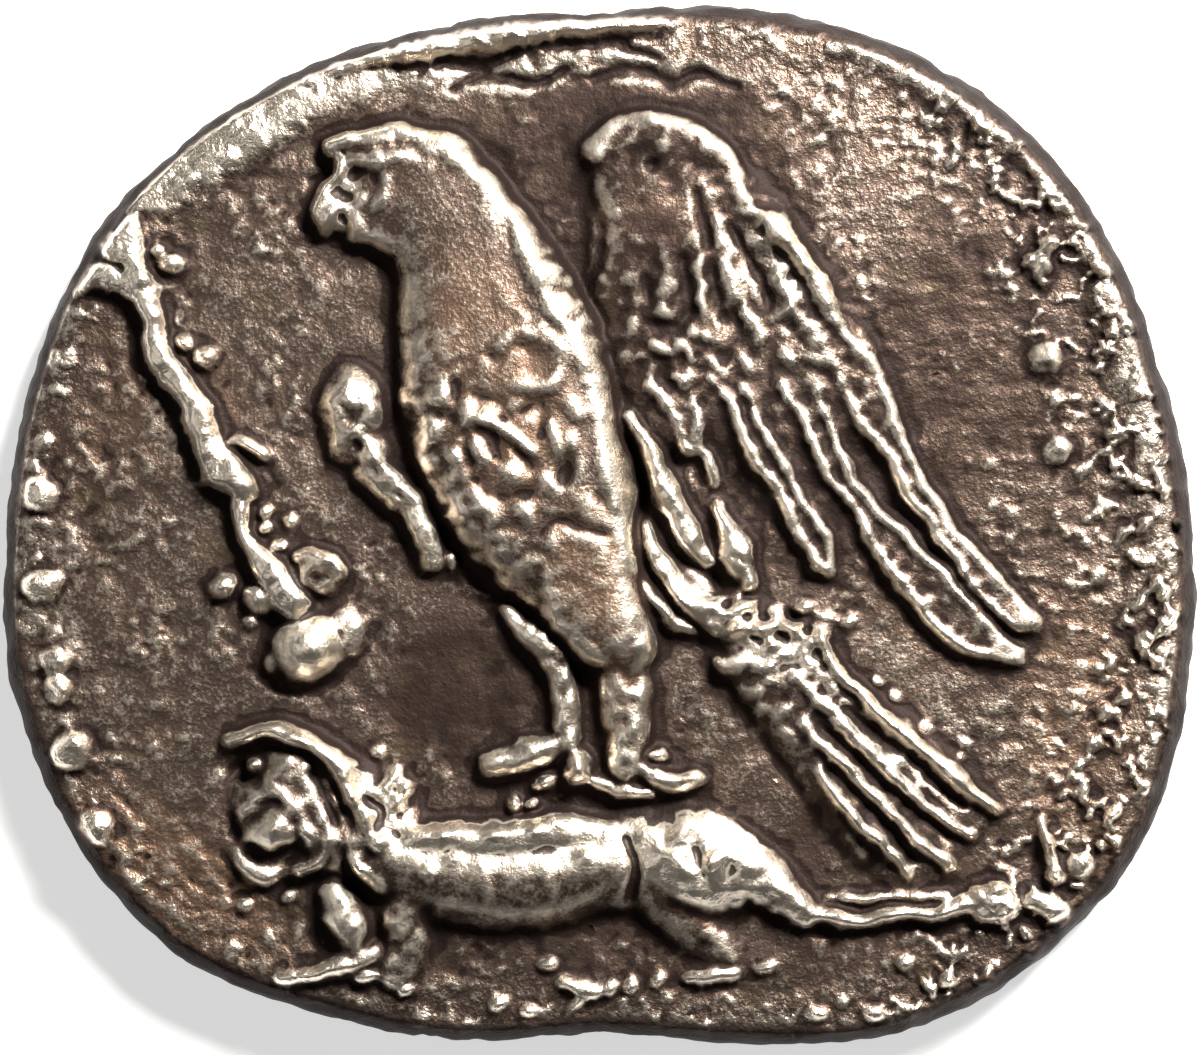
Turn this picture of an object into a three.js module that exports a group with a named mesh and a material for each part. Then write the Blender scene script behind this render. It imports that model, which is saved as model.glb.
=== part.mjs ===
// A small struck silver coin: an eagle standing on a lion, inside an uneven hammered edge.
// One solid. Millimetres, +Z up out of the eagle side, +Y past the eagle's head, origin under the middle.
import * as THREE from 'three';

// Sizes of the whole coin.
const COIN_WIDTH = 10.6;
const GROUND_HEIGHT = 0.84;
const GROUND_CROWN = 0.14;
const RELIEF_HEIGHT = 0.42;

// Figures are placed on a carving grid counted from the middle of the coin.
const STEPS_ACROSS = 119;
const STEP = COIN_WIDTH / STEPS_ACROSS;

// Distance from the middle to the edge, in steps, at equal turns counted from +X towards +Y.
const EDGE_RADII = [
  59.9, 58.8, 59.2, 58.7, 56.9, 54.3, 52.2, 53.0, 54.7, 57.0, 59.0, 59.4,
  60.0, 61.6, 61.9, 60.9, 56.8, 53.8, 51.2, 54.0, 59.3, 62.3, 63.5, 61.7,
];

// Rounding of the edge: shares of the edge radius and of the edge height, from the underside up.
const UNDERSIDE_SHARE = 0.955;
const FACE_SHARE = 0.972;
const EDGE_BELLY = [
  { share: 0.986, height: 0.18 },
  { share: 1.0, height: 0.45 },
  { share: 0.994, height: 0.78 },
];
const EDGE_SIDES = 90;
const MARGIN_START = 0.945;
const MARGIN_DROP = 0.1;

// Underside: a flat ring carries the coin, the middle is struck a little hollow round a barley ear.
const RING_INSIDE = 0.68;
const HOLLOW_SLOPE = 0.1;
const HOLLOW_DEPTH = 0.16;
const EAR_HEIGHT = 0.12;
const EAR_ROWS = 7;
const GRAIN_LENGTH = 4.6;
const GRAIN_WIDTH = 2.4;
const GRAIN_REACH = 3.3;
const ROW_GAP = 4.6;
const EAR_FOOT = -17;
const GRAIN_LEAN = 24;

// Facets: points stand along every mark and, further apart, on the open ground. All in steps.
const RIM_POINTS = 132;
const INNER_RING_SHARE = 0.94;
const NEAREST_POINTS = 0.62;
const GROUND_GAP = 4.6;
const TIE_BREAK = 1e-6;
const LINES_ACROSS = [
  { upTo: 1.7, offsets: [0, 1], gap: 1.35 },
  { upTo: 3.4, offsets: [0, 0.68, 1], gap: 1.7 },
  { upTo: 99, offsets: [0, 0.5, 0.84, 1], gap: 2.2 },
];

// Cross-sections of a raised mark: a low power is round, a high one is flat on top.
const ROUND = 2;
const FULL = 3;
const FLAT = 4.5;
const BLEND = 0.035;

/** Curve through the four values around a gap, at share t of the gap. */
function throughFour(a, b, c, d, t) {
  const bend = 2 * a - 5 * b + 4 * c - d + t * (3 * (b - c) + d - a);
  return b + 0.5 * t * (c - a + t * bend);
}

/** Edge radius in steps at an angle in radians. */
function edgeRadius(angle) {
  const count = EDGE_RADII.length;
  const place = ((angle / (2 * Math.PI)) * count + count) % count;
  const at = Math.floor(place);
  const radius = (offset) => EDGE_RADII[(at + offset + count) % count];
  return throughFour(radius(-1), radius(0), radius(1), radius(2), place - at);
}

/** The value at share t of a list whose members stand evenly along a stroke. */
function along(values, t) {
  if (values.length === 1) {
    return values[0];
  }
  const place = Math.min(t * (values.length - 1), values.length - 1.000001);
  const at = Math.floor(place);
  return values[at] + (values[at + 1] - values[at]) * (place - at);
}

/** Rounds a path off: short straight spans along the curve through its points. */
function roundPath(path, spansPerGap = 4) {
  if (path.length < 3) {
    return path;
  }
  const last = path.length - 1;
  const mirror = (end, next) => [2 * end[0] - next[0], 2 * end[1] - next[1]];
  const points = [mirror(path[0], path[1]), ...path, mirror(path[last], path[last - 1])];
  const curve = [];
  for (let gap = 0; gap < last; gap += 1) {
    const [a, b, c, d] = points.slice(gap, gap + 4);
    for (let span = 0; span < spansPerGap; span += 1) {
      const t = span / spansPerGap;
      curve.push([throughFour(a[0], b[0], c[0], d[0], t), throughFour(a[1], b[1], c[1], d[1], t)]);
    }
  }
  curve.push(path[last]);
  return curve;
}

/** Larger of two heights, with the inner corner between them filled. */
function blendUp(below, above) {
  if (above <= 0) {
    return below;
  }
  const share = Math.min(Math.max(0.5 + (0.5 * (above - below)) / BLEND, 0), 1);
  return below * (1 - share) + above * share + BLEND * share * (1 - share);
}

const addOn = (below, above) => below + above;
const cutIn = (below, above) => below - above;

/** The lines that a mark of this half width needs from its middle to its foot. */
const linesFor = (halfWidth) => LINES_ACROSS.find((lines) => halfWidth <= lines.upTo);

/** Points along a stroke: its crest, its feet and the lines between them. */
function strokeGuides(spans) {
  const guides = [];
  let owed = 0;
  spans.forEach((span, at) => {
    const length = Math.sqrt(span.length2);
    const { gap } = linesFor(Math.max(...span.halfWidth));
    let here = owed;
    const stations = [];
    while (here < length) {
      stations.push(here / length);
      here += gap;
    }
    owed = here - length;
    if (at === spans.length - 1) {
      stations.push(1);
    }
    for (const t of stations) {
      const halfWidth = span.halfWidth[0] + (span.halfWidth[1] - span.halfWidth[0]) * t;
      const [x, y] = [span.ax + span.ux * t, span.ay + span.uy * t];
      for (const offset of linesFor(halfWidth).offsets) {
        const reach = (offset * halfWidth) / length;
        guides.push([x - span.uy * reach, y + span.ux * reach], [x + span.uy * reach, y - span.ux * reach]);
      }
    }
  });
  return [...guides, ...endGuides(spans[0], 0), ...endGuides(spans[spans.length - 1], 1)];
}

/** Points round the rounded end of a stroke. */
function endGuides(span, end) {
  const halfWidth = span.halfWidth[end];
  const outward = Math.atan2(span.uy, span.ux) + (end === 0 ? Math.PI : 0);
  const { offsets, gap } = linesFor(halfWidth);
  const [x, y] = [span.ax + span.ux * end, span.ay + span.uy * end];
  const guides = [];
  for (const offset of offsets.filter((share) => share > 0)) {
    const reach = offset * halfWidth;
    const count = Math.max(1, Math.round((Math.PI * reach) / gap));
    for (let at = 0; at < count; at += 1) {
      const angle = outward + ((at + 0.5) / count - 0.5) * Math.PI;
      guides.push([x + reach * Math.cos(angle), y + reach * Math.sin(angle)]);
    }
  }
  return guides;
}

/** Points of an oval: its middle and rings out to its foot. */
function ovalGuides(x, y, halfLong, halfShort, cosine, sine) {
  const guides = [[x, y]];
  const size = Math.sqrt(halfLong * halfShort);
  const { offsets, gap } = linesFor(size);
  for (const offset of offsets.filter((share) => share > 0)) {
    const count = Math.max(6, Math.round((2 * Math.PI * size * offset) / gap));
    for (let at = 0; at < count; at += 1) {
      const angle = ((at + offset) / count) * 2 * Math.PI;
      const lengthwise = halfLong * offset * Math.cos(angle);
      const across = halfShort * offset * Math.sin(angle);
      guides.push([x + lengthwise * cosine - across * sine, y + lengthwise * sine + across * cosine]);
    }
  }
  return guides;
}

/** A list of marks struck one after another; sizes in steps, heights as shares of the relief. */
class Carving {
  constructor() {
    this.marks = [];
  }

  /** A stroke along a path whose half width and height change on the way. */
  stroke(path, halfWidths, heights, power, join) {
    const curve = roundPath(path);
    const gaps = curve.length - 1;
    const widest = Math.max(...halfWidths);
    const spans = [];
    for (let at = 0; at < gaps; at += 1) {
      const [ax, ay] = curve[at];
      const [bx, by] = curve[at + 1];
      const length2 = (bx - ax) ** 2 + (by - ay) ** 2;
      const halfWidth = [along(halfWidths, at / gaps), along(halfWidths, (at + 1) / gaps)];
      const height = [along(heights, at / gaps), along(heights, (at + 1) / gaps)];
      spans.push({ ax, ay, ux: bx - ax, uy: by - ay, length2, halfWidth, height });
    }
    const shape = (x, y) => {
      let best = 0;
      for (const span of spans) {
        const px = x - span.ax;
        const py = y - span.ay;
        const t = Math.min(Math.max((px * span.ux + py * span.uy) / span.length2, 0), 1);
        const width = span.halfWidth[0] + (span.halfWidth[1] - span.halfWidth[0]) * t;
        const off = Math.hypot(px - t * span.ux, py - t * span.uy) / width;
        if (off < 1) {
          const height = span.height[0] + (span.height[1] - span.height[0]) * t;
          best = Math.max(best, height * (1 - off ** power));
        }
      }
      return best;
    };
    const xs = curve.map((point) => point[0]);
    const ys = curve.map((point) => point[1]);
    const reach = (values) => [Math.min(...values) - widest, Math.max(...values) + widest];
    const box = [...reach(xs), ...reach(ys)];
    this.marks.push({ box, shape, join, guides: strokeGuides(spans) });
  }

  ridge(path, halfWidths, heights, power = ROUND) {
    this.stroke(path, halfWidths, heights, power, blendUp);
  }

  swell(path, halfWidths, heights) {
    this.stroke(path, halfWidths, heights, ROUND, addOn);
  }

  groove(path, halfWidths, depths) {
    this.stroke(path, halfWidths, depths, ROUND, cutIn);
  }

  /** An oval boss: centre, half sizes, turn in degrees, height. */
  boss(x, y, halfLong, halfShort, turn, height, power = ROUND, join = blendUp) {
    const reach = Math.max(halfLong, halfShort);
    const cosine = Math.cos(THREE.MathUtils.degToRad(turn));
    const sine = Math.sin(THREE.MathUtils.degToRad(turn));
    const shape = (px, py) => {
      const lengthwise = ((px - x) * cosine + (py - y) * sine) / halfLong;
      const across = ((py - y) * cosine - (px - x) * sine) / halfShort;
      const off = Math.hypot(lengthwise, across);
      return off < 1 ? height * (1 - off ** power) : 0;
    };
    const guides = ovalGuides(x, y, halfLong, halfShort, cosine, sine);
    this.marks.push({ box: [x - reach, x + reach, y - reach, y + reach], shape, join, guides });
  }

  pit(x, y, halfLong, halfShort, turn, depth) {
    this.boss(x, y, halfLong, halfShort, turn, depth, ROUND, cutIn);
  }

  /** A feather: a flat web between two raised edges, each given as its own path. */
  feather(lowEdge, highEdge, webHeight, edgeHeight) {
    const low = lowEdge.length > 2 ? roundPath(lowEdge, 2) : lowEdge;
    const high = highEdge.length > 2 ? roundPath(highEdge, 2) : highEdge;
    const count = Math.min(low.length, high.length);
    const middle = [];
    const halves = [];
    for (let at = 0; at < count; at += 1) {
      const share = at / (count - 1);
      const a = low[Math.round(share * (low.length - 1))];
      const b = high[Math.round(share * (high.length - 1))];
      middle.push([(a[0] + b[0]) / 2, (a[1] + b[1]) / 2]);
      halves.push(Math.max(0.4, Math.hypot(a[0] - b[0], a[1] - b[1]) / 2));
    }
    this.ridge(middle, halves, [webHeight], FLAT);
    this.ridge(lowEdge, [0.6, 0.85, 0.85, 0.6], [edgeHeight, edgeHeight, edgeHeight, edgeHeight * 0.7]);
    this.ridge(highEdge, [0.6, 0.8, 0.8, 0.5], [edgeHeight, edgeHeight, edgeHeight, edgeHeight * 0.6]);
  }

  /** Height of all marks together at a place. */
  at(x, y) {
    let height = 0;
    for (const { box, shape, join } of this.marks) {
      if (x > box[0] && x < box[1] && y > box[2] && y < box[3]) {
        height = join(height, shape(x, y));
      }
    }
    return height;
  }
}

/** The raised wing behind the body, with its fan of long feathers. */
function carveWing(c) {
  c.ridge([[5.8, 34.2], [7.4, 25], [8, 13]], [4.8, 6.4, 5], [0.36, 0.34, 0.26], FLAT);
  c.ridge([[9.5, 35], [18, 22.7], [26, 10.7]], [3.2, 4.8, 3], [0.3, 0.28, 0.18], FLAT);
  c.ridge([[10, 20], [16, 13], [21, 5], [25, -2]], [6, 6.5, 5, 3.2], [0.22, 0.2, 0.16, 0.08], FLAT);
  // shoulder rim, from the body over the top and down the leading edge
  c.ridge([[-0.9, 23.8], [0.4, 29.6], [-1.1, 37.4], [2.5, 39.8], [10.5, 37.9], [15.9, 30.1]],
    [0.8, 0.9, 1, 1, 1, 0.8], [0.34, 0.42, 0.42, 0.46, 0.42, 0.38]);
  c.ridge([[15.9, 31.3], [20.2, 26.3], [23.7, 20], [27.5, 15.5], [30.5, 14.2]],
    [1, 1.4, 1.1, 1, 0.7], [0.48, 0.5, 0.44, 0.36, 0.24]);
  // grooves of the small covering feathers
  c.groove([[9.6, 33.5], [10.5, 28]], [0.8, 0.9], [0.12]);
  c.groove([[8.2, 26.7], [8.6, 20.8]], [0.8, 0.9], [0.13]);
  c.groove([[13.2, 30.1], [17, 22.5]], [0.8, 1], [0.15]);
  c.swell([[11.6, 30.5], [12.6, 26.5], [16, 18.8]], [0.8, 1, 0.8], [0.1]);
  c.pit(6.5, 19.7, 2.2, 1.2, -10, 0.13);
  // long feathers, outermost first
  c.feather([[21.2, 19.8], [26.7, 9.9], [31.7, 2.1], [37.4, -6.1], [41.3, -9.4], [43.8, -10]],
    [[23.7, 20], [28.7, 12.5], [33.4, 2.6], [37.1, -2.4], [41.3, -6.6], [43.8, -9.4]], 0.3, 0.37);
  c.feather([[18.1, 14.3], [22.2, 6.3], [28.4, -3.3], [33.7, -10], [37.4, -12.5], [41.8, -13.4]],
    [[21.6, 13.5], [26.7, 2.9], [31.2, -1.9], [35.5, -6.4], [38, -9], [41.3, -11.7]], 0.28, 0.39);
  c.feather([[10.9, 14.9], [15.2, 7.1], [19.4, 0.7], [21.6, -3.3]],
    [[14, 14.5], [17.7, 7.1], [22.8, -1], [23.6, -4.4]], 0.28, 0.39);
  c.feather([[4.8, 14.1], [8.4, 8.6], [9, 7.7]], [[7.5, 15], [10, 9], [9.4, 7.4]], 0.3, 0.4);
  // short feathers lying along the body
  c.ridge([[2.8, 11.3], [6.5, 3.5], [10.7, -3.5]], [0.9, 1.3, 0.9], [0.4, 0.46, 0.38], FULL);
  c.ridge([[11.9, 2.2], [13.5, -2.1], [14.9, -5.8]], [0.7, 1.8, 0.8], [0.28, 0.46, 0.36]);
  c.ridge([[4, 0.1], [4.9, -4.2], [7.4, -7.5], [12, -9.2]], [1, 2, 2.4, 1.8], [0.4, 0.48, 0.5, 0.4], FULL);
  c.ridge([[12.4, -8.5], [17.5, -11], [21.9, -10.9]], [1.9, 2.4, 1.4], [0.42, 0.4, 0.3], FULL);
}

/** The fan of the tail. */
function carveTail(c) {
  c.ridge([[15.5, -13.5], [27, -26.5], [31.5, -32]], [2.2, 4.2, 3.6], [0.32, 0.24, 0.14], FLAT);
  c.ridge([[9, -14.6], [16.2, -13.6], [21.9, -10.9]], [1.1, 1.3, 0.9], [0.4, 0.47, 0.4], FULL);
  const quills = [
    [[21.9, -10.9], [25.5, -16.4], [34.6, -24.4], [39.7, -28.5]],
    [[19.1, -14.7], [25.7, -21.1], [32.8, -28.3], [37.2, -30.8]],
    [[20.3, -19.6], [26.4, -25.7], [34.9, -33.9]],
    [[21.9, -24.2], [27, -30.8], [30.8, -34.9]],
    [[15.5, -16.8], [18.3, -19.6], [26.5, -33]],
  ];
  for (const quill of quills) {
    c.ridge(quill, [0.9, 1.1, 1, 0.7], [0.43, 0.44, 0.4, 0.28]);
  }
}

/** Head, neck, breast and belly in one sweep, with the throat side filled out. */
function carveBody(c) {
  c.ridge([[-18.2, 33.9], [-15.4, 31], [-12.9, 26.5], [-11.4, 22],
    [-9.8, 16.2], [-8.5, 9.7], [-6.2, 3.7], [-2.6, -2.1]],
    [5.4, 6.2, 6.9, 8.2, 9.7, 9.9, 8.9, 6.8], [0.66, 0.7, 0.76, 0.86, 0.95, 1, 0.98, 0.88], FULL);
  c.ridge([[-22.3, 34.6], [-17, 34.2]], [4.2, 5.4], [0.54, 0.64], FULL);
  c.ridge([[-15, 24], [-14.5, 17], [-13.2, 11], [-10, 5]],
    [4.6, 5.2, 5.2, 4.2], [0.7, 0.84, 0.88, 0.86], FULL);
}

/** Thigh, both shanks and the toes that grip the lion. */
function carveLegs(c) {
  c.ridge([[-3, -1.8], [-1.2, -6.6], [0.3, -9.4], [2.4, -11.4]],
    [4.6, 4.6, 4.1, 3], [0.95, 0.94, 0.88, 0.72], FULL);
  c.ridge([[1.2, -12], [1.4, -17], [1.7, -24.2]], [2.6, 2.2, 2], [0.62, 0.58, 0.54], FULL);
  c.ridge([[2.6, -24], [7, -25.7], [9.7, -25.2]], [1.4, 1.3, 0.9], [0.46, 0.46, 0.4]);
  c.ridge([[-9.3, -8.5], [-6.1, -11.1], [-3.6, -16.3], [-3.5, -21.6]],
    [0.9, 1.4, 1.1, 1.2], [0.3, 0.43, 0.38, 0.4], FULL);
  c.ridge([[-10.6, -23.6], [-7.5, -22.8], [-3.8, -21.5]], [1.3, 1.6, 1.2], [0.44, 0.5, 0.46], FULL);
  c.boss(-2.2, -24.1, 2.1, 2, 0, 0.62);
}

/** Hooked beak, brow and eye. */
function carveHead(c) {
  c.ridge([[-28.5, 33.9], [-28.4, 31.8], [-27, 30.2], [-24.2, 30.9]],
    [1, 1.4, 1.3, 0.9], [0.44, 0.54, 0.52, 0.4]);
  c.ridge([[-27.1, 36.9], [-25.9, 34.7], [-27, 31.6]], [1, 0.9, 0.9], [0.5, 0.5, 0.42]);
  c.ridge([[-27.6, 36.8], [-24.9, 38.4], [-17, 39]], [1, 1.1, 1], [0.52, 0.58, 0.42]);
  c.pit(-23.8, 34.9, 1.2, 0.9, 0, 0.24);
  c.pit(-24.5, 31.7, 1.3, 0.9, 0, 0.2);
  c.boss(-24.2, 33.3, 1.1, 1.1, 0, 0.58);
}

/** Lines of neck and back, breast feathers, and the groove between body and wing. */
function carvePlumage(c) {
  c.swell([[-16.7, 38], [-9.8, 33.2], [-7.2, 28], [-4, 21.8], [-0.8, 16], [0.6, 9.5], [2, 2.5]],
    [1, 1.2, 1.2, 1.4, 1.5, 1.5, 1], [0.08]);
  c.swell([[-9.9, 17.9], [-8.5, 19], [-6.2, 19.3], [-4, 16.6], [-5.5, 13.9], [-8.1, 14]],
    [0.8, 1, 1, 1.1, 1, 0.9], [0.1]);
  const feathers = [
    [-15.9, 12.9, -60], [-16.8, 9.7, 0], [-13.1, 11.4, -70], [-12, 7.2, -60],
    [-9.4, 9.6, -25], [-11.6, 1.9, -50], [-4.6, 8.8, -50], [-5.3, 4.2, -40],
  ];
  for (const [x, y, turn] of feathers) {
    c.boss(x, y, 1.7, 1, turn, 0.11, ROUND, addOn);
  }
  c.pit(-3.4, 5.6, 1.1, 1.8, -20, 0.16);
  c.groove([[-5.8, -1], [-4, 0.6], [0.6, -0.8]], [0.8, 0.9, 0.8], [0.08]);
  c.groove([[2.9, 8.8], [4.3, 3], [3.8, -2.2], [5.6, -5.9], [10.5, -10.6]],
    [0.9, 1, 1, 1, 0.8], [0.2, 0.32, 0.36, 0.34, 0.18]);
}

/** The lion stretched out under the eagle's feet. */
function carveLion(c) {
  c.ridge([[-20, -33.8], [-14, -34.9], [-7, -35.1], [0, -34], [5, -33.4]],
    [3.8, 4.5, 4.6, 3.8, 3.9], [0.62, 0.7, 0.7, 0.6, 0.58], FULL);
  c.boss(9.6, -33.7, 6.2, 5, -12, 0.7, FULL);
  c.ridge([[12, -32.8], [16.5, -35.4], [20.9, -38.8]], [3.6, 2.8, 1.5], [0.6, 0.54, 0.42], FULL);
  c.ridge([[5.6, -36.4], [8.8, -39.4], [12.9, -43.8]], [2.3, 2.1, 1.1], [0.58, 0.52, 0.32], FULL);
  c.ridge([[-18, -34], [-19.4, -38.3], [-20.4, -44.7]], [2.7, 2.2, 1.4], [0.64, 0.56, 0.36], FULL);
  c.ridge([[-26.7, -36.7], [-25.5, -38.7], [-24.6, -42]], [1.6, 2, 1.3], [0.48, 0.54, 0.38], FULL);
  c.ridge([[-28, -44.3], [-23, -42.4]], [1, 1.2], [0.36, 0.42]);
  c.swell([[-20.6, -30.9], [-9.9, -31.8], [2.9, -31.6]], [1.1, 1.5, 1], [0.1]);
  c.groove([[2.6, -30.5], [3.6, -34], [3, -37.5]], [0.8, 1, 0.8], [0.2]);
  c.boss(8, -30.6, 2, 1.2, 0, 0.1, ROUND, addOn);
  c.boss(12.6, -33, 1.8, 1.2, 20, 0.1, ROUND, addOn);
  // head: hollow ear under an arched brow, muzzle, jaw
  c.ridge([[-30.6, -25.4], [-28.6, -28.4], [-22.5, -33]], [3.7, 3.7, 3.1], [0.52, 0.56, 0.58], FULL);
  c.boss(-32, -30.4, 4.7, 3.8, 10, 0.6, FULL);
  c.ridge([[-36.9, -21.2], [-31.8, -20.4], [-26.3, -23.8], [-23, -31.6]],
    [0.8, 1.4, 1.5, 1.1], [0.36, 0.62, 0.64, 0.5]);
  c.pit(-35.4, -24.4, 3, 2.3, 20, 0.32);
  c.boss(-34.6, -23.8, 1, 0.9, 0, 0.34);
  c.ridge([[-37.6, -29.4], [-36.4, -33], [-34.4, -34.8], [-31.6, -34.4]],
    [0.8, 1.1, 1.1, 0.8], [0.28, 0.42, 0.44, 0.3]);
  c.groove([[-28.8, -24.6], [-26.2, -29.4]], [0.8, 0.9], [0.18]);
  c.groove([[-25.6, -32.4], [-22, -37.4]], [0.8, 0.9], [0.18]);
  // mane along the neck
  for (const [x, y, turn] of [[-24, -25, -40], [-21.8, -27, 40], [-20.4, -29, -30], [-22.6, -30, 60]]) {
    c.boss(x, y, 1.6, 1.1, turn, 0.46);
  }
  // tail, ending in a tuft
  c.ridge([[20.9, -38.8], [25.3, -39.4], [36.6, -37.8]], [1.2, 1, 1.2], [0.43, 0.42, 0.42]);
  c.boss(39.4, -37.6, 3, 2.2, 0, 0.46, FULL);
  c.ridge([[43.2, -37.2], [47, -39.4]], [1.2, 1.2], [0.38, 0.32]);
}

/** The knotted twig in front of the eagle, and the seed between them. */
function carveTwigAndSeed(c) {
  c.boss(-48.4, 28.8, 2.6, 1.7, 60, 0.36, FULL);
  c.ridge([[-47.2, 30], [-45.8, 23.9], [-44.2, 17.6], [-40.3, 11.4]],
    [1.2, 1.2, 1.2, 1.5], [0.44, 0.46, 0.44, 0.5], FULL);
  c.ridge([[-52.5, 23.7], [-50.2, 25.1], [-46.4, 23.5]], [0.8, 1, 0.9], [0.28, 0.36, 0.34]);
  c.ridge([[-40.3, 11.4], [-37.7, 5.6], [-35.4, 3.2], [-35.3, -0.5], [-32.7, -4.8], [-30.5, -7.8]],
    [1.6, 1.8, 1.1, 1.1, 1.6, 1.7], [0.5, 0.52, 0.44, 0.48, 0.56, 0.58], FULL);
  c.ridge([[-43.2, 4.4], [-37.6, 5.2]], [0.6, 1.1], [0.16, 0.46]);
  c.boss(-33.8, -7, 1.9, 1.8, 0, 0.44);
  c.boss(-28.3, -4.2, 2.7, 2.3, -20, 0.43, FULL);
  c.pit(-28.4, -4.6, 1.2, 1, 0, 0.13);
  c.boss(-25.4, -11.2, 2.1, 2.7, 0, 0.32, FULL);
  c.boss(-29.3, -12.1, 3.6, 3.3, 0, 0.7);
  const buds = [[-43, 26.3, 1.6], [-40, 17.4, 1.5], [-37.6, -5.9, 1.3], [-35, 8, 1.4]];
  for (const [x, y, size] of buds) {
    c.boss(x, y, size, size * 0.8, -20, 0.34);
  }
  c.boss(-24.8, 11.2, 3, 4.7, 4, 0.47, FULL);
  c.ridge([[-23.4, 7.6], [-20.3, 3.4], [-17.6, -0.8], [-16.8, -3.6]],
    [2.4, 1.7, 1.2, 1.1], [0.46, 0.44, 0.38, 0.36], FULL);
  c.pit(-24.4, 8.1, 1.1, 1, 0, 0.16);
}

/** What is left of the dotted border, and the lips pushed up by the die. */
function carveBorder(c) {
  const dots = [
    [-56.1, 3.3, 1.7], [-55.5, -5.9, 1.5], [-54.5, -13.7, 1.4],
    [-54.3, -16.1, 1.4], [-52.9, -21.7, 1.9], [-51.2, -30.2, 1.7],
    [44.1, 26.8, 1.4], [44.7, 16.9, 1.7], [45.8, 7.4, 1.2], [48, -33.9, 1.5],
  ];
  for (const [x, y, size] of dots) {
    c.boss(x, y, size, size, 0, 0.38);
  }
  c.ridge([[44.2, -29.5], [45.9, -35.2]], [0.7, 0.9], [0.34]);
  c.ridge([[-49.2, 27.5], [-40.2, 39.3], [-26.4, 46.4], [-12.6, 48.4], [1.7, 50.2], [8, 50]],
    [0.9, 1.4, 1.4, 1.4, 1.3, 0.8], [0.22, 0.3, 0.3, 0.32, 0.28, 0.14], FULL);
  c.ridge([[23.7, 48], [35.6, 43], [47.6, 32], [52.6, 20.5], [56, 5], [56.2, -12], [51.2, -30]],
    [0.8, 1.3, 1.6, 2, 2.3, 2.2, 1.7], [0.12, 0.22, 0.24, 0.24, 0.2, 0.18, 0.14], FLAT);
}

function eagleSide() {
  const carving = new Carving();
  carveWing(carving);
  carveTail(carving);
  carveBody(carving);
  carveLegs(carving);
  carveHead(carving);
  carvePlumage(carving);
  carveTwigAndSeed(carving);
  carveLion(carving);
  carveBorder(carving);
  const heightAt = (x, y, share) => {
    const past = Math.max(share - MARGIN_START, 0) / (1 - MARGIN_START);
    const ground = GROUND_HEIGHT - GROUND_CROWN * share ** 2 - MARGIN_DROP * past ** 2;
    return ground + RELIEF_HEIGHT * carving.at(x, y);
  };
  return { carving, heightAt, rimShare: FACE_SHARE };
}

/** A barley ear: a stem with grains leaning out in pairs and a beard above. */
function barleyEar() {
  const carving = new Carving();
  carving.ridge([[0, -32], [0.6, -24], [0, EAR_FOOT]], [1, 1.2, 1.2], [0.7], FULL);
  for (let row = 0; row < EAR_ROWS; row += 1) {
    const y = EAR_FOOT + row * ROW_GAP;
    const shrink = 1 - 0.05 * row;
    for (const side of [-1, 1]) {
      const [long, wide] = [GRAIN_LENGTH * shrink, GRAIN_WIDTH * shrink];
      carving.boss(side * GRAIN_REACH * shrink, y, long, wide, 90 - side * GRAIN_LEAN, 1);
    }
  }
  const top = EAR_FOOT + EAR_ROWS * ROW_GAP;
  carving.boss(0, top - 1, GRAIN_LENGTH, GRAIN_WIDTH, 90, 1);
  for (const lean of [-10, -5, 0, 5, 10]) {
    carving.ridge([[lean * 0.25, top], [lean, top + 14 - Math.abs(lean) * 0.4]], [1, 0.7], [0.6, 0.4]);
  }
  return carving;
}

function earSide() {
  const carving = barleyEar();
  const heightAt = (x, y, share) => {
    const slope = Math.min(Math.max((RING_INSIDE - share) / HOLLOW_SLOPE, 0), 1);
    const floor = HOLLOW_DEPTH * slope * slope * (3 - 2 * slope);
    return floor - Math.min(EAR_HEIGHT * carving.at(x, y) * slope, floor);
  };
  return { carving, heightAt, rimShare: UNDERSIDE_SHARE };
}

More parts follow.
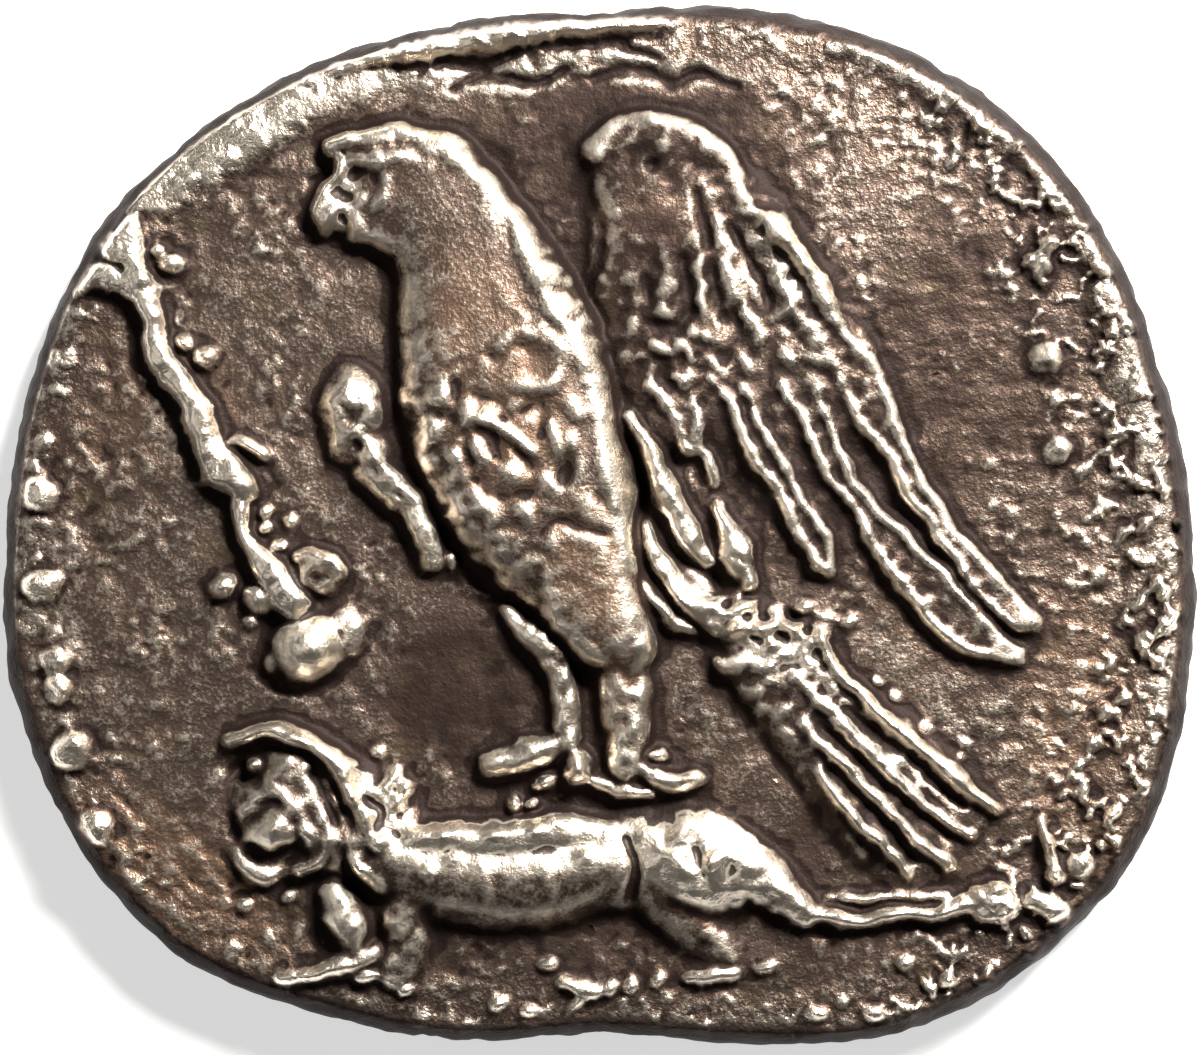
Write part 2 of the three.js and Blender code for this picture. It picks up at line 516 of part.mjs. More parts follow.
/** Points of one side, none nearer to another than allowed; rings of the rim come first. */
class PointField {
  constructor({ carving, heightAt, rimShare }) {
    this.heightAt = heightAt;
    this.rimShare = rimShare;
    this.points = [];
    this.cells = new Map();
    this.onRing(rimShare, 0, (x, y, angle) => this.place(x, y, rimShare, angle, true));
    for (const { guides } of [...carving.marks].reverse()) {
      guides.forEach(([x, y]) => this.add(x, y, NEAREST_POINTS));
    }
    this.onRing(INNER_RING_SHARE * rimShare, 0.5, (x, y) => this.add(x, y, 2 * NEAREST_POINTS));
    this.addGround();
  }

  onRing(share, shift, put) {
    for (let at = 0; at < RIM_POINTS; at += 1) {
      const angle = ((at + shift) / RIM_POINTS) * 2 * Math.PI;
      const reach = share * edgeRadius(angle);
      put(reach * Math.cos(angle), reach * Math.sin(angle), angle);
    }
  }

  addGround() {
    const reach = Math.max(...EDGE_RADII);
    const rowGap = GROUND_GAP * Math.sqrt(0.75);
    const rows = Math.ceil(reach / rowGap);
    for (let row = -rows; row <= rows; row += 1) {
      for (let column = -rows; column <= rows; column += 1) {
        this.add((column + (row & 1) / 2) * GROUND_GAP, row * rowGap, GROUND_GAP * 0.7);
      }
    }
  }

  cellOf(x, y) {
    return [Math.floor(x / GROUND_GAP), Math.floor(y / GROUND_GAP)];
  }

  isFree(x, y, gap) {
    const [column, row] = this.cellOf(x, y);
    for (let side = -1; side <= 1; side += 1) {
      for (let up = -1; up <= 1; up += 1) {
        const near = this.cells.get(`${column + side},${row + up}`) ?? [];
        if (near.some((point) => Math.hypot(point.x - x, point.y - y) < gap)) {
          return false;
        }
      }
    }
    return true;
  }

  add(x, y, gap) {
    const angle = Math.atan2(y, x);
    const share = Math.hypot(x, y) / edgeRadius(angle);
    const room = (this.rimShare - share) * edgeRadius(angle);
    if (room > NEAREST_POINTS && this.isFree(x, y, gap)) {
      this.place(x, y, share, angle, false);
    }
  }

  place(x, y, share, angle, onRim) {
    const key = this.cellOf(x, y).join(',');
    // inner points are shaken a hair off any exact circle, so that no four of them tie
    const reach = share + (onRim ? 0 : TIE_BREAK * Math.sin(97 * this.points.length));
    const point = { x, y, angle, onRim, round: [reach * Math.cos(angle), reach * Math.sin(angle)] };
    point.position = [x * STEP, y * STEP, this.heightAt(x, y, share)];
    this.points.push(point);
    this.cells.set(key, [...(this.cells.get(key) ?? []), point]);
  }
}

/** Centre and squared radius of the circle through three corners. */
function circleThrough(a, b, c) {
  const [bx, by, cx, cy] = [b[0] - a[0], b[1] - a[1], c[0] - a[0], c[1] - a[1]];
  const twice = 2 * (bx * cy - by * cx);
  const [b2, c2] = [bx * bx + by * by, cx * cx + cy * cy];
  const [x, y] = [(cy * b2 - by * c2) / twice, (bx * c2 - cx * b2) / twice];
  return { x: x + a[0], y: y + a[1], radius2: x * x + y * y };
}

/** Joins points into the facets whose circles hold no other point. The rim lies on a true circle here. */
function joinPoints(points) {
  const FAR = 4000;
  const corners = points.map((point) => point.round);
  const outer = [corners.length, corners.length + 1, corners.length + 2];
  corners.push([-FAR, -FAR], [FAR, -FAR], [0, FAR]);
  const facet = (a, b, c) => ({ at: [a, b, c], circle: circleThrough(corners[a], corners[b], corners[c]) });
  let facets = [facet(...outer)];
  const innerFirst = [...points.keys()].sort((one, other) => points[one].onRim - points[other].onRim);
  innerFirst.forEach((number) => {
    const [x, y] = corners[number];
    const border = new Map();
    facets = facets.filter(({ at, circle }) => {
      if ((x - circle.x) ** 2 + (y - circle.y) ** 2 >= circle.radius2) {
        return true;
      }
      for (const [from, to] of [[at[0], at[1]], [at[1], at[2]], [at[2], at[0]]]) {
        if (!border.delete(`${to},${from}`)) {
          border.set(`${from},${to}`, [from, to]);
        }
      }
      return false;
    });
    for (const [from, to] of border.values()) {
      facets.push(facet(from, to, number));
    }
  });
  return facets.map(({ at }) => at).filter((at) => Math.max(...at) < points.length);
}

/** A closed mesh under construction. */
class Shell {
  constructor() {
    this.positions = [];
    this.faces = [];
  }

  addPoint(position) {
    this.positions.push(...position);
    return this.positions.length / 3 - 1;
  }

  /** Adds one side of the coin and returns its rim, in order of angle. */
  addSide(points, triangles, facesUp) {
    const numbers = new Map();
    const numberOf = (at) => {
      if (!numbers.has(at)) {
        numbers.set(at, this.addPoint(points[at].position));
      }
      return numbers.get(at);
    };
    for (const corners of triangles) {
      const [a, b, c] = corners.map(numberOf);
      this.faces.push(facesUp ? [a, b, c] : [a, c, b]);
    }
    const rim = [];
    for (const [at, number] of numbers) {
      if (points[at].onRim) {
        rim.push({ number, angle: points[at].angle });
      }
    }
    return rim.sort((one, other) => one.angle - other.angle);
  }

  /** Adds a ring of points round the edge. */
  addRing({ share, height }, topHeight) {
    const ring = [];
    for (let side = 0; side < EDGE_SIDES; side += 1) {
      const angle = (side / EDGE_SIDES) * 2 * Math.PI;
      const reach = share * edgeRadius(angle) * STEP;
      const z = height * topHeight;
      ring.push({ number: this.addPoint([reach * Math.cos(angle), reach * Math.sin(angle), z]), angle });
    }
    return ring;
  }

  /** Closes the wall between two rings whose points need not pair up. */
  bridge(lower, upper) {
    let low = 0;
    let high = 0;
    const angleOf = (ring, at) => {
      const turn = at < ring.length ? 0 : 2 * Math.PI;
      return ring[at % ring.length].angle + turn;
    };
    while (low < lower.length || high < upper.length) {
      const a = lower[low % lower.length].number;
      const b = upper[high % upper.length].number;
      const lowerNext = high >= upper.length
        || (low < lower.length && angleOf(lower, low + 1) <= angleOf(upper, high + 1));
      if (lowerNext) {
        low += 1;
        this.faces.push([a, lower[low % lower.length].number, b]);
      } else {
        high += 1;
        this.faces.push([a, upper[high % upper.length].number, b]);
      }
    }
  }

  toGeometry() {
    const geometry = new THREE.BufferGeometry();
    geometry.setAttribute('position', new THREE.Float32BufferAttribute(this.positions, 3));
    geometry.setIndex(this.faces.flat());
    geometry.computeVertexNormals();
    return geometry;
  }
}

function coinGeometry() {
  const shell = new Shell();
  const under = new PointField(earSide());
  const face = new PointField(eagleSide());
  const underRim = shell.addSide(under.points, joinPoints(under.points), false);
  const faceRim = shell.addSide(face.points, joinPoints(face.points), true);
  const edgeHeight = GROUND_HEIGHT - GROUND_CROWN - MARGIN_DROP;
  const rings = EDGE_BELLY.map((row) => shell.addRing(row, edgeHeight));
  const stack = [underRim, ...rings, faceRim];
  for (let at = 0; at + 1 < stack.length; at += 1) {
    shell.bridge(stack[at], stack[at + 1]);
  }
  const geometry = shell.toGeometry();
  geometry.computeBoundingBox();
  const middle = geometry.boundingBox.getCenter(new THREE.Vector3());
  return geometry.translate(-middle.x, -middle.y, 0);
}

function silver() {
  return new THREE.MeshStandardMaterial({ name: 'silver', color: 0xa79a8c, metalness: 1, roughness: 0.42 });
}

function buildCoin() {
  const group = new THREE.Group();
  const coin = new THREE.Mesh(coinGeometry(), silver());
  coin.name = 'coin';
  group.add(coin);
  return group;
}

export default buildCoin();
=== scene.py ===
"""A worn silver obol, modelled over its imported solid.

Places on the coin are counted in carving steps from its middle, with +X to the right and +Y
up as the camera sees it. Heights of marks are shares of the full relief.
"""
import math

import bpy
import numpy as np
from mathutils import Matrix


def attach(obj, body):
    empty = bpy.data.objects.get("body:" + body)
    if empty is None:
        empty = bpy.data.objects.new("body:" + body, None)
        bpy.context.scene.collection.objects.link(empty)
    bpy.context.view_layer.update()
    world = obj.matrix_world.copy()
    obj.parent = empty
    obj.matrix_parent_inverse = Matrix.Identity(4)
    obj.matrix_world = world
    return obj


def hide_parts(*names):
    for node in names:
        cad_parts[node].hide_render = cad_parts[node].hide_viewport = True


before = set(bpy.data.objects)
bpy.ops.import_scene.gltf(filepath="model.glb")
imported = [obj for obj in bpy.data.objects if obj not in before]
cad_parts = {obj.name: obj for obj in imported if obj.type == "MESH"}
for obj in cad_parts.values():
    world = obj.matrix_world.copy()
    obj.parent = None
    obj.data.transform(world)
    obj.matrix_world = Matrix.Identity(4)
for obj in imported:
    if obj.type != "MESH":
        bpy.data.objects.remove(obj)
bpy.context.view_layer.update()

MM = 0.001

# Overall sizes, millimetres, as in the solid
COIN_WIDTH = 10.6
GROUND_HEIGHT = 0.84
GROUND_CROWN = 0.14
RELIEF_HEIGHT = 0.42
MARGIN_DROP = 0.1
HOLLOW_DEPTH = 0.16
EAR_HEIGHT = 0.12

# The carving grid: how many steps go across, and the gap between points of the height maps
STEPS_ACROSS = 119
STEP = COIN_WIDTH / STEPS_ACROSS
MAP_GAP = 0.1
MAP_REACH = 66

# Distance from the middle to the edge, in steps, at equal turns counted from +X towards +Y
EDGE_RADII = np.array([
    59.9, 58.8, 59.2, 58.7, 56.9, 54.3, 52.2, 53.0, 54.7, 57.0, 59.0, 59.4,
    60.0, 61.6, 61.9, 60.9, 56.8, 53.8, 51.2, 54.0, 59.3, 62.3, 63.5, 61.7])

# Shares of the edge radius: where the struck face and the underside end, and the belly of
# the edge between them with the height of each ring as a share of the edge's height
FACE_SHARE = 0.972
UNDERSIDE_SHARE = 0.955
MARGIN_START = 0.945
EDGE_HEIGHT = GROUND_HEIGHT - GROUND_CROWN - MARGIN_DROP
EDGE_RINGS = (
    (0.984, 0.95), (0.991, 0.85), (0.996, 0.7), (1.0, 0.5), (0.998, 0.36), (0.992, 0.23),
    (0.982, 0.11), (0.968, 0.025))

# Underside, in steps: the flat ring, and a barley ear in the hollow that it surrounds
RING_INSIDE = 0.68
HOLLOW_SLOPE = 0.1
EAR_ROWS = 7
GRAIN_LENGTH = 4.6
GRAIN_WIDTH = 2.4
GRAIN_REACH = 3.3
ROW_GAP = 4.6
EAR_FOOT = -17
GRAIN_LEAN = 24

# Points: cells across each side before the flat parts are thinned out, and the share kept
FACE_CELLS = 420
FACE_KEPT = 0.41
UNDER_CELLS = 170
UNDER_KEPT = 0.42

# Cross-sections of marks: the higher the power, the flatter the top
ROUND = 2.0
BROAD = 2.5
FULL = 3.0
FLAT = 4.5
BODY = 6

# Wear of the marks: how much wider it left the raised ones, how much wider the soft ones are
# than their size, and how far, as a share of the relief, a mark runs into what is under it
WORN_FAT = 1.12
SOFT_SPREAD = 1.4
BLEND = 0.09

# Points between two points of a path, points along a feather, and the least width of its web
PATH_SPANS = 5
FEATHER_POINTS = 9
LEAST_WEB = 0.4

# Lines of the carving wander, by this much in steps, and are chipped. A layer of noise is
# its strength, the size of its lumps in steps, and its seed.
FACE_WANDER = 0.42
EAR_WANDER = 0.25
WANDER_COARSE = 3.6
WANDER_FINE = 1.4
WANDER_FINE_SHARE = 0.3
FACE_SEED = 1
EAR_SEED = 31
CHIPS = ((0.2, 2.3, 24), (0.2, 1.2, 25), (0.1, 0.7, 26))
CHIPPED_UP_TO = 0.35
FACE_SOFTENING = 0.25
EAR_SOFTENING = 0.3
KEPT_STRAIGHT = 0.8

# Relief fades towards the border of the face, and below the first height the ground is bare
LIP_FADE = 0.55
LIP_FADE_START = 0.957
BARE_BELOW = 0.02
CARVED_ABOVE = 0.2

# Worn ground of the face, in steps: how far noise drifts, the strengths of its kinds, how
# faint lumps are on the carving and how much a smooth place takes away
DRIFT = ((1.2, 7, 19),)
PATCHES = (6, 20)
LEAST_PATCH = 0.35
SMOOTHED_AWAY = 0.75
BROAD_LUMPS = ((0.16, 3.4, 11),)
LUMPS_ON_CARVING = 0.6
FLOW_ANYWHERE = 0.2
FLOW_IN_PLACES = 0.45
SWEPT_LINES = 0.2
SWEPT_TURN = (0.83, 0.56)
RIM_CRUMBS = 0.35
EAST_CRUMBS = 0.95
CRUMBS_LEAST = 0.1

# Where the field at the right, the rim and the east of it begin and end, in steps across or
# in shares of the edge radius, and the same for the lip's dull part, its rubbing and its dirt
RIGHT_FIELD = (22, 36)
RIM_BAND = (0.84, 0.95)
EAST_FIELD = (22, 46)
EAST_RIM = (0.72, 0.9)
DULL_LIP = (-66, -30)
UNRUBBED_RIM = (0.95, 0.965)
DIRTY_RIM = (0.952, 0.968)
RIM_DIRT = 0.45

# Where dirt stays and where hands rub: reach of the broad and the close comparison with the
# ground around, in steps, how much each counts, and what is left out of account
BROAD_REACH = 2.2
CLOSE_REACH = 0.6
UNEVEN_DIRT = ((0.7, 2.1, 71), (0.4, 0.9, 72))
DIRT_BROAD, DIRT_CLOSE, DIRT_LEAST = 0.3, 3.6, 0.1
RUB_BROAD, RUB_CLOSE, RUB_LEAST = 0.16, 2.3, 0.04

# Hammered edge, in steps: long swellings, short ones, and nicks
EDGE_SWELL = 0.35
EDGE_RIPPLE = 0.22
NICK_DEPTH = 0.6
NICK_LEAST = 0.35

# What the attributes say on the edge, which has no map of its own
EDGE_SURFACE = {"recess": 0.35, "worn": 0.05, "coarse": 0.7, "warmth": 0.5, "toning": 0.8}


def through_four(a, b, c, d, t):
    """Curve through the four values around a gap, at share t of the gap."""
    bend = 2 * a - 5 * b + 4 * c - d + t * (3 * (b - c) + d - a)
    return b + 0.5 * t * (c - a + t * bend)


def edge_radius(angle):
    """Edge radius in steps at angles in radians."""
    count = len(EDGE_RADII)
    place = np.asarray(angle) / (2 * math.pi) * count % count
    at = np.floor(place).astype(int)
    around = [EDGE_RADII[(at + offset) % count] for offset in (-1, 0, 1, 2)]
    return through_four(*around, place - at)


def round_path(path):
    """Rounds a path off: short straight spans along the curve through its points."""
    points = np.array(path, float)
    if len(points) < 3:
        return points
    ends = np.vstack([2 * points[0] - points[1], points, 2 * points[-1] - points[-2]])
    curve = []
    for gap in range(len(points) - 1):
        for span in range(PATH_SPANS):
            curve.append(through_four(*ends[gap:gap + 4], span / PATH_SPANS))
    return np.array(curve + [points[-1]])


def gradient_noise(x, y, size, seed, slant=None):
    """Smooth noise of about -1 to 1 with lumps of the given size, on a grid turned by slant."""
    rng = np.random.default_rng(seed)
    span = 128
    turn = rng.uniform(0, 2 * math.pi, (span, span))
    slant = 1.7 * seed if slant is None else slant
    cosine, sine = math.cos(slant), math.sin(slant)
    u = (x * cosine - y * sine) / size + 17.3
    v = (x * sine + y * cosine) / size + 31.7
    i, j = np.floor(u).astype(int), np.floor(v).astype(int)
    fu, fv = u - i, v - j
    su, sv = fu * fu * (3 - 2 * fu), fv * fv * (3 - 2 * fv)
    total = 0
    for di, wu in ((0, 1 - su), (1, su)):
        for dj, wv in ((0, 1 - sv), (1, sv)):
            angle = turn[(i + di) % span, (j + dj) % span]
            total = total + wu * wv * (np.cos(angle) * (fu - di) + np.sin(angle) * (fv - dj))
    return 1.5 * total


def layered_noise(x, y, layers, total=0):
    """A total and noise of several sizes: strength, size of lumps in steps and seed of each."""
    for strength, size, seed in layers:
        total = total + strength * gradient_noise(x, y, size, seed)
    return total


def soften(heights, radius):
    """Blurs a height map: three box means of the given radius in steps, each way."""
    reach = max(1, int(round(radius / MAP_GAP)))
    for axis in (0, 1):
        for _ in range(3):
            ends = [(reach + 1, reach) if side == axis else (0, 0) for side in (0, 1)]
            total = np.cumsum(np.pad(heights, ends, mode="edge"), axis=axis)
            width = 2 * reach + 1
            if axis == 0:
                heights = (total[width:] - total[:-width]) / width
            else:
                heights = (total[:, width:] - total[:, :-width]) / width
    return heights


class Carving:
    """Height map of one side of the coin: heights as shares of the relief, places in steps."""

    def __init__(self, x, y):
        self.x = x
        self.y = y
        self.height = np.zeros_like(x)
        self.left = x.min()
        self.low = y.min()

    def window(self, low, high):
        """Rows and columns of the map between two corners, with room for bent outlines."""
        room = 2.0
        columns = np.clip([(low[0] - room - self.left) / MAP_GAP,
                (high[0] + room - self.left) / MAP_GAP + 1],
                          0, self.x.shape[1]).astype(int)
        rows = np.clip([(low[1] - room - self.low) / MAP_GAP, (high[1] + room - self.low) / MAP_GAP + 1],
                       0, self.x.shape[0]).astype(int)
        return slice(*rows), slice(*columns)

    def join(self, where, mark, how):
        """Adds a mark to the map: raised over what is there, on top of it, or cut into it."""
        below = self.height[where]
        if how == "add":
            self.height[where] = below + mark
        elif how == "cut":
            self.height[where] = below - mark
        else:
            share = np.clip(0.5 + 0.5 * (mark - below) / BLEND, 0, 1)
            joined = below * (1 - share) + mark * share + BLEND * share * (1 - share)
            self.height[where] = np.where(mark > 0, joined, below)

    def stroke(self, path, half_widths, heights, power, how):
        """A stroke along a path whose half width and height change on the way."""
        curve = round_path(path)
        along = np.linspace(0, 1, len(curve))
        half = np.interp(along, np.linspace(0, 1, np.size(half_widths)), np.atleast_1d(half_widths))
        rise = np.interp(along, np.linspace(0, 1, np.size(heights)), np.atleast_1d(heights))
        where = self.window(curve.min(0) - half.max(), curve.max(0) + half.max())
        x, y = self.x[where], self.y[where]
        best = np.zeros_like(x)
        for at in range(len(curve) - 1):
            reach = max(half[at], half[at + 1])
            low = np.minimum(curve[at], curve[at + 1]) - reach
            high = np.maximum(curve[at], curve[at + 1]) + reach
            near = np.nonzero((x > low[0]) & (x < high[0]) & (y > low[1]) & (y < high[1]))
            away = np.array([x[near] - curve[at][0], y[near] - curve[at][1]])
            run = curve[at + 1] - curve[at]
            t = np.clip(run @ away / (run @ run + 1e-9), 0, 1)
            off2 = ((away - np.outer(run,
                    t)) ** 2).sum(0) / (half[at] + (half[at + 1] - half[at]) * t) ** 2
            mark = (rise[at] + (rise[at + 1] - rise[at]) * t) * self.section(off2, power, how)
            best[near] = np.maximum(best[near], mark)
        self.join(where, best, how)

    def section(self, off2, power, how):
        """Cross-section from the middle, 1, to the foot, 0; off2 is the squared share of the way."""
        if how == "over":
            return np.clip(1 - off2 ** (power / 2), 0, None)
        return np.clip(1 - off2, 0, None) ** 2

    def ridge(self, path, half_widths, heights, power=ROUND):
        self.stroke(path, np.atleast_1d(half_widths) * WORN_FAT, heights, power, "over")

    def swell(self, path, half_widths, heights):
        self.stroke(path, np.atleast_1d(half_widths) * SOFT_SPREAD, heights, ROUND, "add")

    def groove(self, path, half_widths, depths):
        self.stroke(path, np.atleast_1d(half_widths) * SOFT_SPREAD, depths, ROUND, "cut")

    def boss(self, x, y, half_long, half_short, turn, height, power=ROUND, how="over"):
        """An oval boss: centre, half sizes, turn in degrees, height."""
        grow = WORN_FAT if how == "over" else SOFT_SPREAD
        half_long, half_short = grow * half_long, grow * half_short
        reach = max(half_long, half_short)
        where = self.window((x - reach, y - reach), (x + reach, y + reach))
        cosine, sine = math.cos(math.radians(turn)), math.sin(math.radians(turn))
        dx, dy = self.x[where] - x, self.y[where] - y
        off2 = ((dx * cosine + dy * sine) / half_long) ** 2 + ((dy * cosine - dx * sine) / half_short) ** 2
        self.join(where, height * self.section(off2, power, how), how)

    def lump(self, x, y, half_long, half_short, turn, height):
        self.boss(x, y, half_long, half_short, turn, height, how="add")

    def lumps(self, places, height):
        """Lumps of one height: centre, half sizes and turn of each."""
        for place in places:
            self.lump(*place, height)

    def pit(self, x, y, half_long, half_short, turn, depth):
        self.boss(x, y, half_long, half_short, turn, depth, how="cut")

    def feather(self, low_edge, high_edge, web, edge):
        """A feather: a flat web between two raised edges, each given as its own path."""
        low, high = round_path(low_edge), round_path(high_edge)
        share = np.linspace(0, 1, FEATHER_POINTS)
        low_at = np.array([low[int(round(s * (len(low) - 1)))] for s in share])
        high_at = np.array([high[int(round(s * (len(high) - 1)))] for s in share])
        half = np.maximum(LEAST_WEB, np.hypot(*(low_at - high_at).T) / 2)
        self.ridge((low_at + high_at) / 2, half, web, FLAT)
        self.ridge(low_edge, [0.7, 0.95, 0.95, 0.95, 0.7], [edge, edge, edge, edge, edge * 0.7])
        self.ridge(high_edge, [0.6, 0.85, 0.85, 0.85, 0.5], np.array([1, 1, 1, 1, 0.65]) * edge * 0.92)


def carve_wing(c):
    """The raised wing behind the body, with its fan of long feathers."""
    c.ridge([(5.2, 34.6), (6.2, 30), (6.8, 25), (7, 19), (8, 13)], [6.2, 6.8, 7.3, 6.8, 5],
            [.42, .44, .42, .36, .26], FLAT)
    c.ridge([(9.5, 34.6), (14, 29), (18, 22.7), (22, 16.6), (26, 10.7)], [4.2, 5.2, 5.4, 4.9, 3],
            [.4, .38, .34, .28, .16], FULL)
    c.ridge([(10, 20), (16, 13), (21, 5), (25, -2)], [6, 6.5, 5, 3.2], [.24, .22, .16, .06], FULL)
    # shoulder rim, over the top and down the leading edge
    c.ridge([(-.4, 37.4), (2.5, 39.2), (6.5, 39.3), (10.5, 37.7), (12.8, 35.3), (15.9, 30.1)],
            [1.6, 2.2, 2.4, 2.2, 1.8, 1.2], [.38, .45, .47, .43, .4, .4], FULL)
    c.ridge([(15.9, 31.3), (18, 29.2), (20.2, 26.3), (22.3, 23.1), (23.7, 20), (26.4, 16.6),
            (28.8, 14.9)],
            [1.1, 1.7, 1.5, 1.3, 1.1, 1, .5], [.5, .6, .58, .52, .42, .32, .1])
    c.boss(16.6, 30.6, 1.6, 1, -50, .62)
    c.boss(19.4, 27.2, 1.4, .8, -60, .6)
    c.lump(17, 29.2, 1.7, 1.1, -50, .1)
    c.lump(7, 37.6, 2.4, 1.2, -20, .07)
    # small covering feathers
    c.groove([(9.6, 33.5), (10.2, 30.5), (10.5, 28)], [.5, .7, .6], .12)
    c.groove([(8.2, 26.7), (8.6, 24), (8.6, 20.8)], [.5, .7, .6], .14)
    c.groove([(13.2, 30.1), (14.9, 26.7), (17, 22.5)], [.6, .7, .7], .17)
    c.groove([(4.5, 25), (5.2, 21.5)], .5, .08)
    c.groove([(11.2, 25.5), (12.4, 20.6)], [.5, .6], .12)
    c.pit(5.2, 36.2, .7, .7, 0, .16)
    c.swell([(11.6, 30.5), (12.6, 26.5), (14.2, 22), (16, 18.8)], [.6, .9, .9, .6], .13)
    c.swell([(6.2, 28), (6.8, 24), (6.6, 21)], [.6, 1, .7], .08)
    c.swell([(9.6, 26.5), (10, 22.5), (10.4, 19)], [.5, .7, .6], .09)
    c.swell([(17.4, 25.4), (19.6, 21.4), (21.8, 17.6)], [.5, .7, .5], .08)
    c.pit(6.3, 19.7, 2, 1, -10, .15)
    c.swell([(5.4, 18.4), (6.8, 17.5), (8.4, 17.9), (9.2, 16.6)], [.5, .7, .7, .5], .15)
    c.lump(4.4, 17.4, .8, .6, 40, .1)
    # long feathers, outermost first
    c.feather([(18.7, 20.6), (21.2, 19.8), (23.3, 15.8), (26.7, 9.9), (29.5, 6), (31.7, 2.1),
            (34.3, -1.6), (37.4, -6.1),
               (41.3, -9.4), (43.8, -10)],
              [(23.7, 20), (27.4, 16), (28.7, 12.5), (30.6, 7.4), (33.4, 2.6), (37.1, -2.4), (41.3, -6.6),
                      (43.8, -9.4)],
              .27, .37)
    c.feather([(18.1, 14.3), (20.2, 10.5), (22.2, 6.3), (25.3, 1.8), (28.4, -3.3), (31.2, -6.9),
            (33.7, -10),
               (37.4, -12.5), (41.8, -13.4)],
              [(21.6, 13.5), (23.9, 7.7), (26.7, 2.9), (31.2, -1.9), (34.3, -4.9), (38, -9),
                      (41.3, -11.7)], .26, .39)
    c.feather([(10.9, 14.9), (13.2, 11.9), (15.2, 7.1), (17.4, 4), (19.4, .7), (21.6, -3.3)],
              [(14, 14.5), (15.5, 11.1), (17.7, 7.1), (20.2, 2.6), (22.8, -1), (23.6, -4.4)], .26, .4)
    c.feather([(4.8, 14.1), (6.8, 11.9), (8.4, 8.6), (9, 7.7)], [(7.5, 15), (9.4, 12), (10, 9),
            (9.4, 7.4)], .28, .4)
    c.ridge([(17.2, 3.6), (19.5, -.4), (21.6, -3.6), (23.2, -4.8)], [.6, .8, .9, .6], [.3, .38, .42, .3])
    for x, y, turn in ((11.5, 16.3, -50), (14.4, 16.6, -60), (18.4, 17, -55), (21.4, 16.6, -40),
            (8, 14.6, -20)):
        c.lump(x, y, 1.3, .6, turn, .12)
    # short feathers lying along the body
    c.ridge([(2.8, 11.3), (4.8, 7.4), (6.5, 3.5), (9, -1), (10.7, -3.5)], [.9, 1.3, 1.5, 1.3, .9],
            [.4, .45, .48, .46, .36], FULL)
    c.ridge([(8.6, 10.5), (10.4, 7.4), (11.4, 4.6)], [.6, .8, .7], [.26, .32, .2])
    c.ridge([(11.9, 2.2), (13.5, -2.1), (14.9, -5.8)], [.7, 2, .9], [.28, .5, .38])
    c.ridge([(4, .1), (4.9, -4.2), (7.4, -7.5), (12, -9.2)], [1.1, 2.2, 2.6, 2], [.4, .5, .54, .42], FULL)
    c.swell([(6.2, -2.4), (8.7, -4.7), (13.2, -6.9), (14.2, -8.3)], [.7, .8, .8, .7], .13)
    c.groove([(9.8, -1.5), (11.2, -4.5), (12.4, -6.4)], [.4, .6, .4], .18)
    # knot where wing, rump and tail meet
    c.ridge([(12.4, -8.5), (14.5, -10.5), (17.5, -11), (21.9, -10.9)], [2, 2.8, 2.4, 1.4],
            [.42, .42, .36, .28], FULL)
    c.lumps((
            (15.1, -7.7, 1.3, .9, 30), (17.6, -8.2, 1.1, .7, -20), (20.3, -7.9, 1.2, .6, 10),
            (16.2, -10.3, 1.2, .7, 50),
            (18.9, -10.1, 1.3, .8, -30), (22.3, -9, 1.1, .6, -15), (24.6, -9.3, 1, .6, 0),
            (13.6, -10.1, 1, .8, 0),
            (17.2, -12, .9, .5, 10), (20.6, -11.6, .9, .5, -20), (14, -6.4, .8, .5, 60)), .22)
    for x, y in ((16.4, -9.2), (19.2, -8.8), (14.8, -9), (18, -11), (15.4, -11.6), (20.4, -10.2),
            (12.6, -7.6)):
        c.pit(x, y, .7, .6, 30, .26)


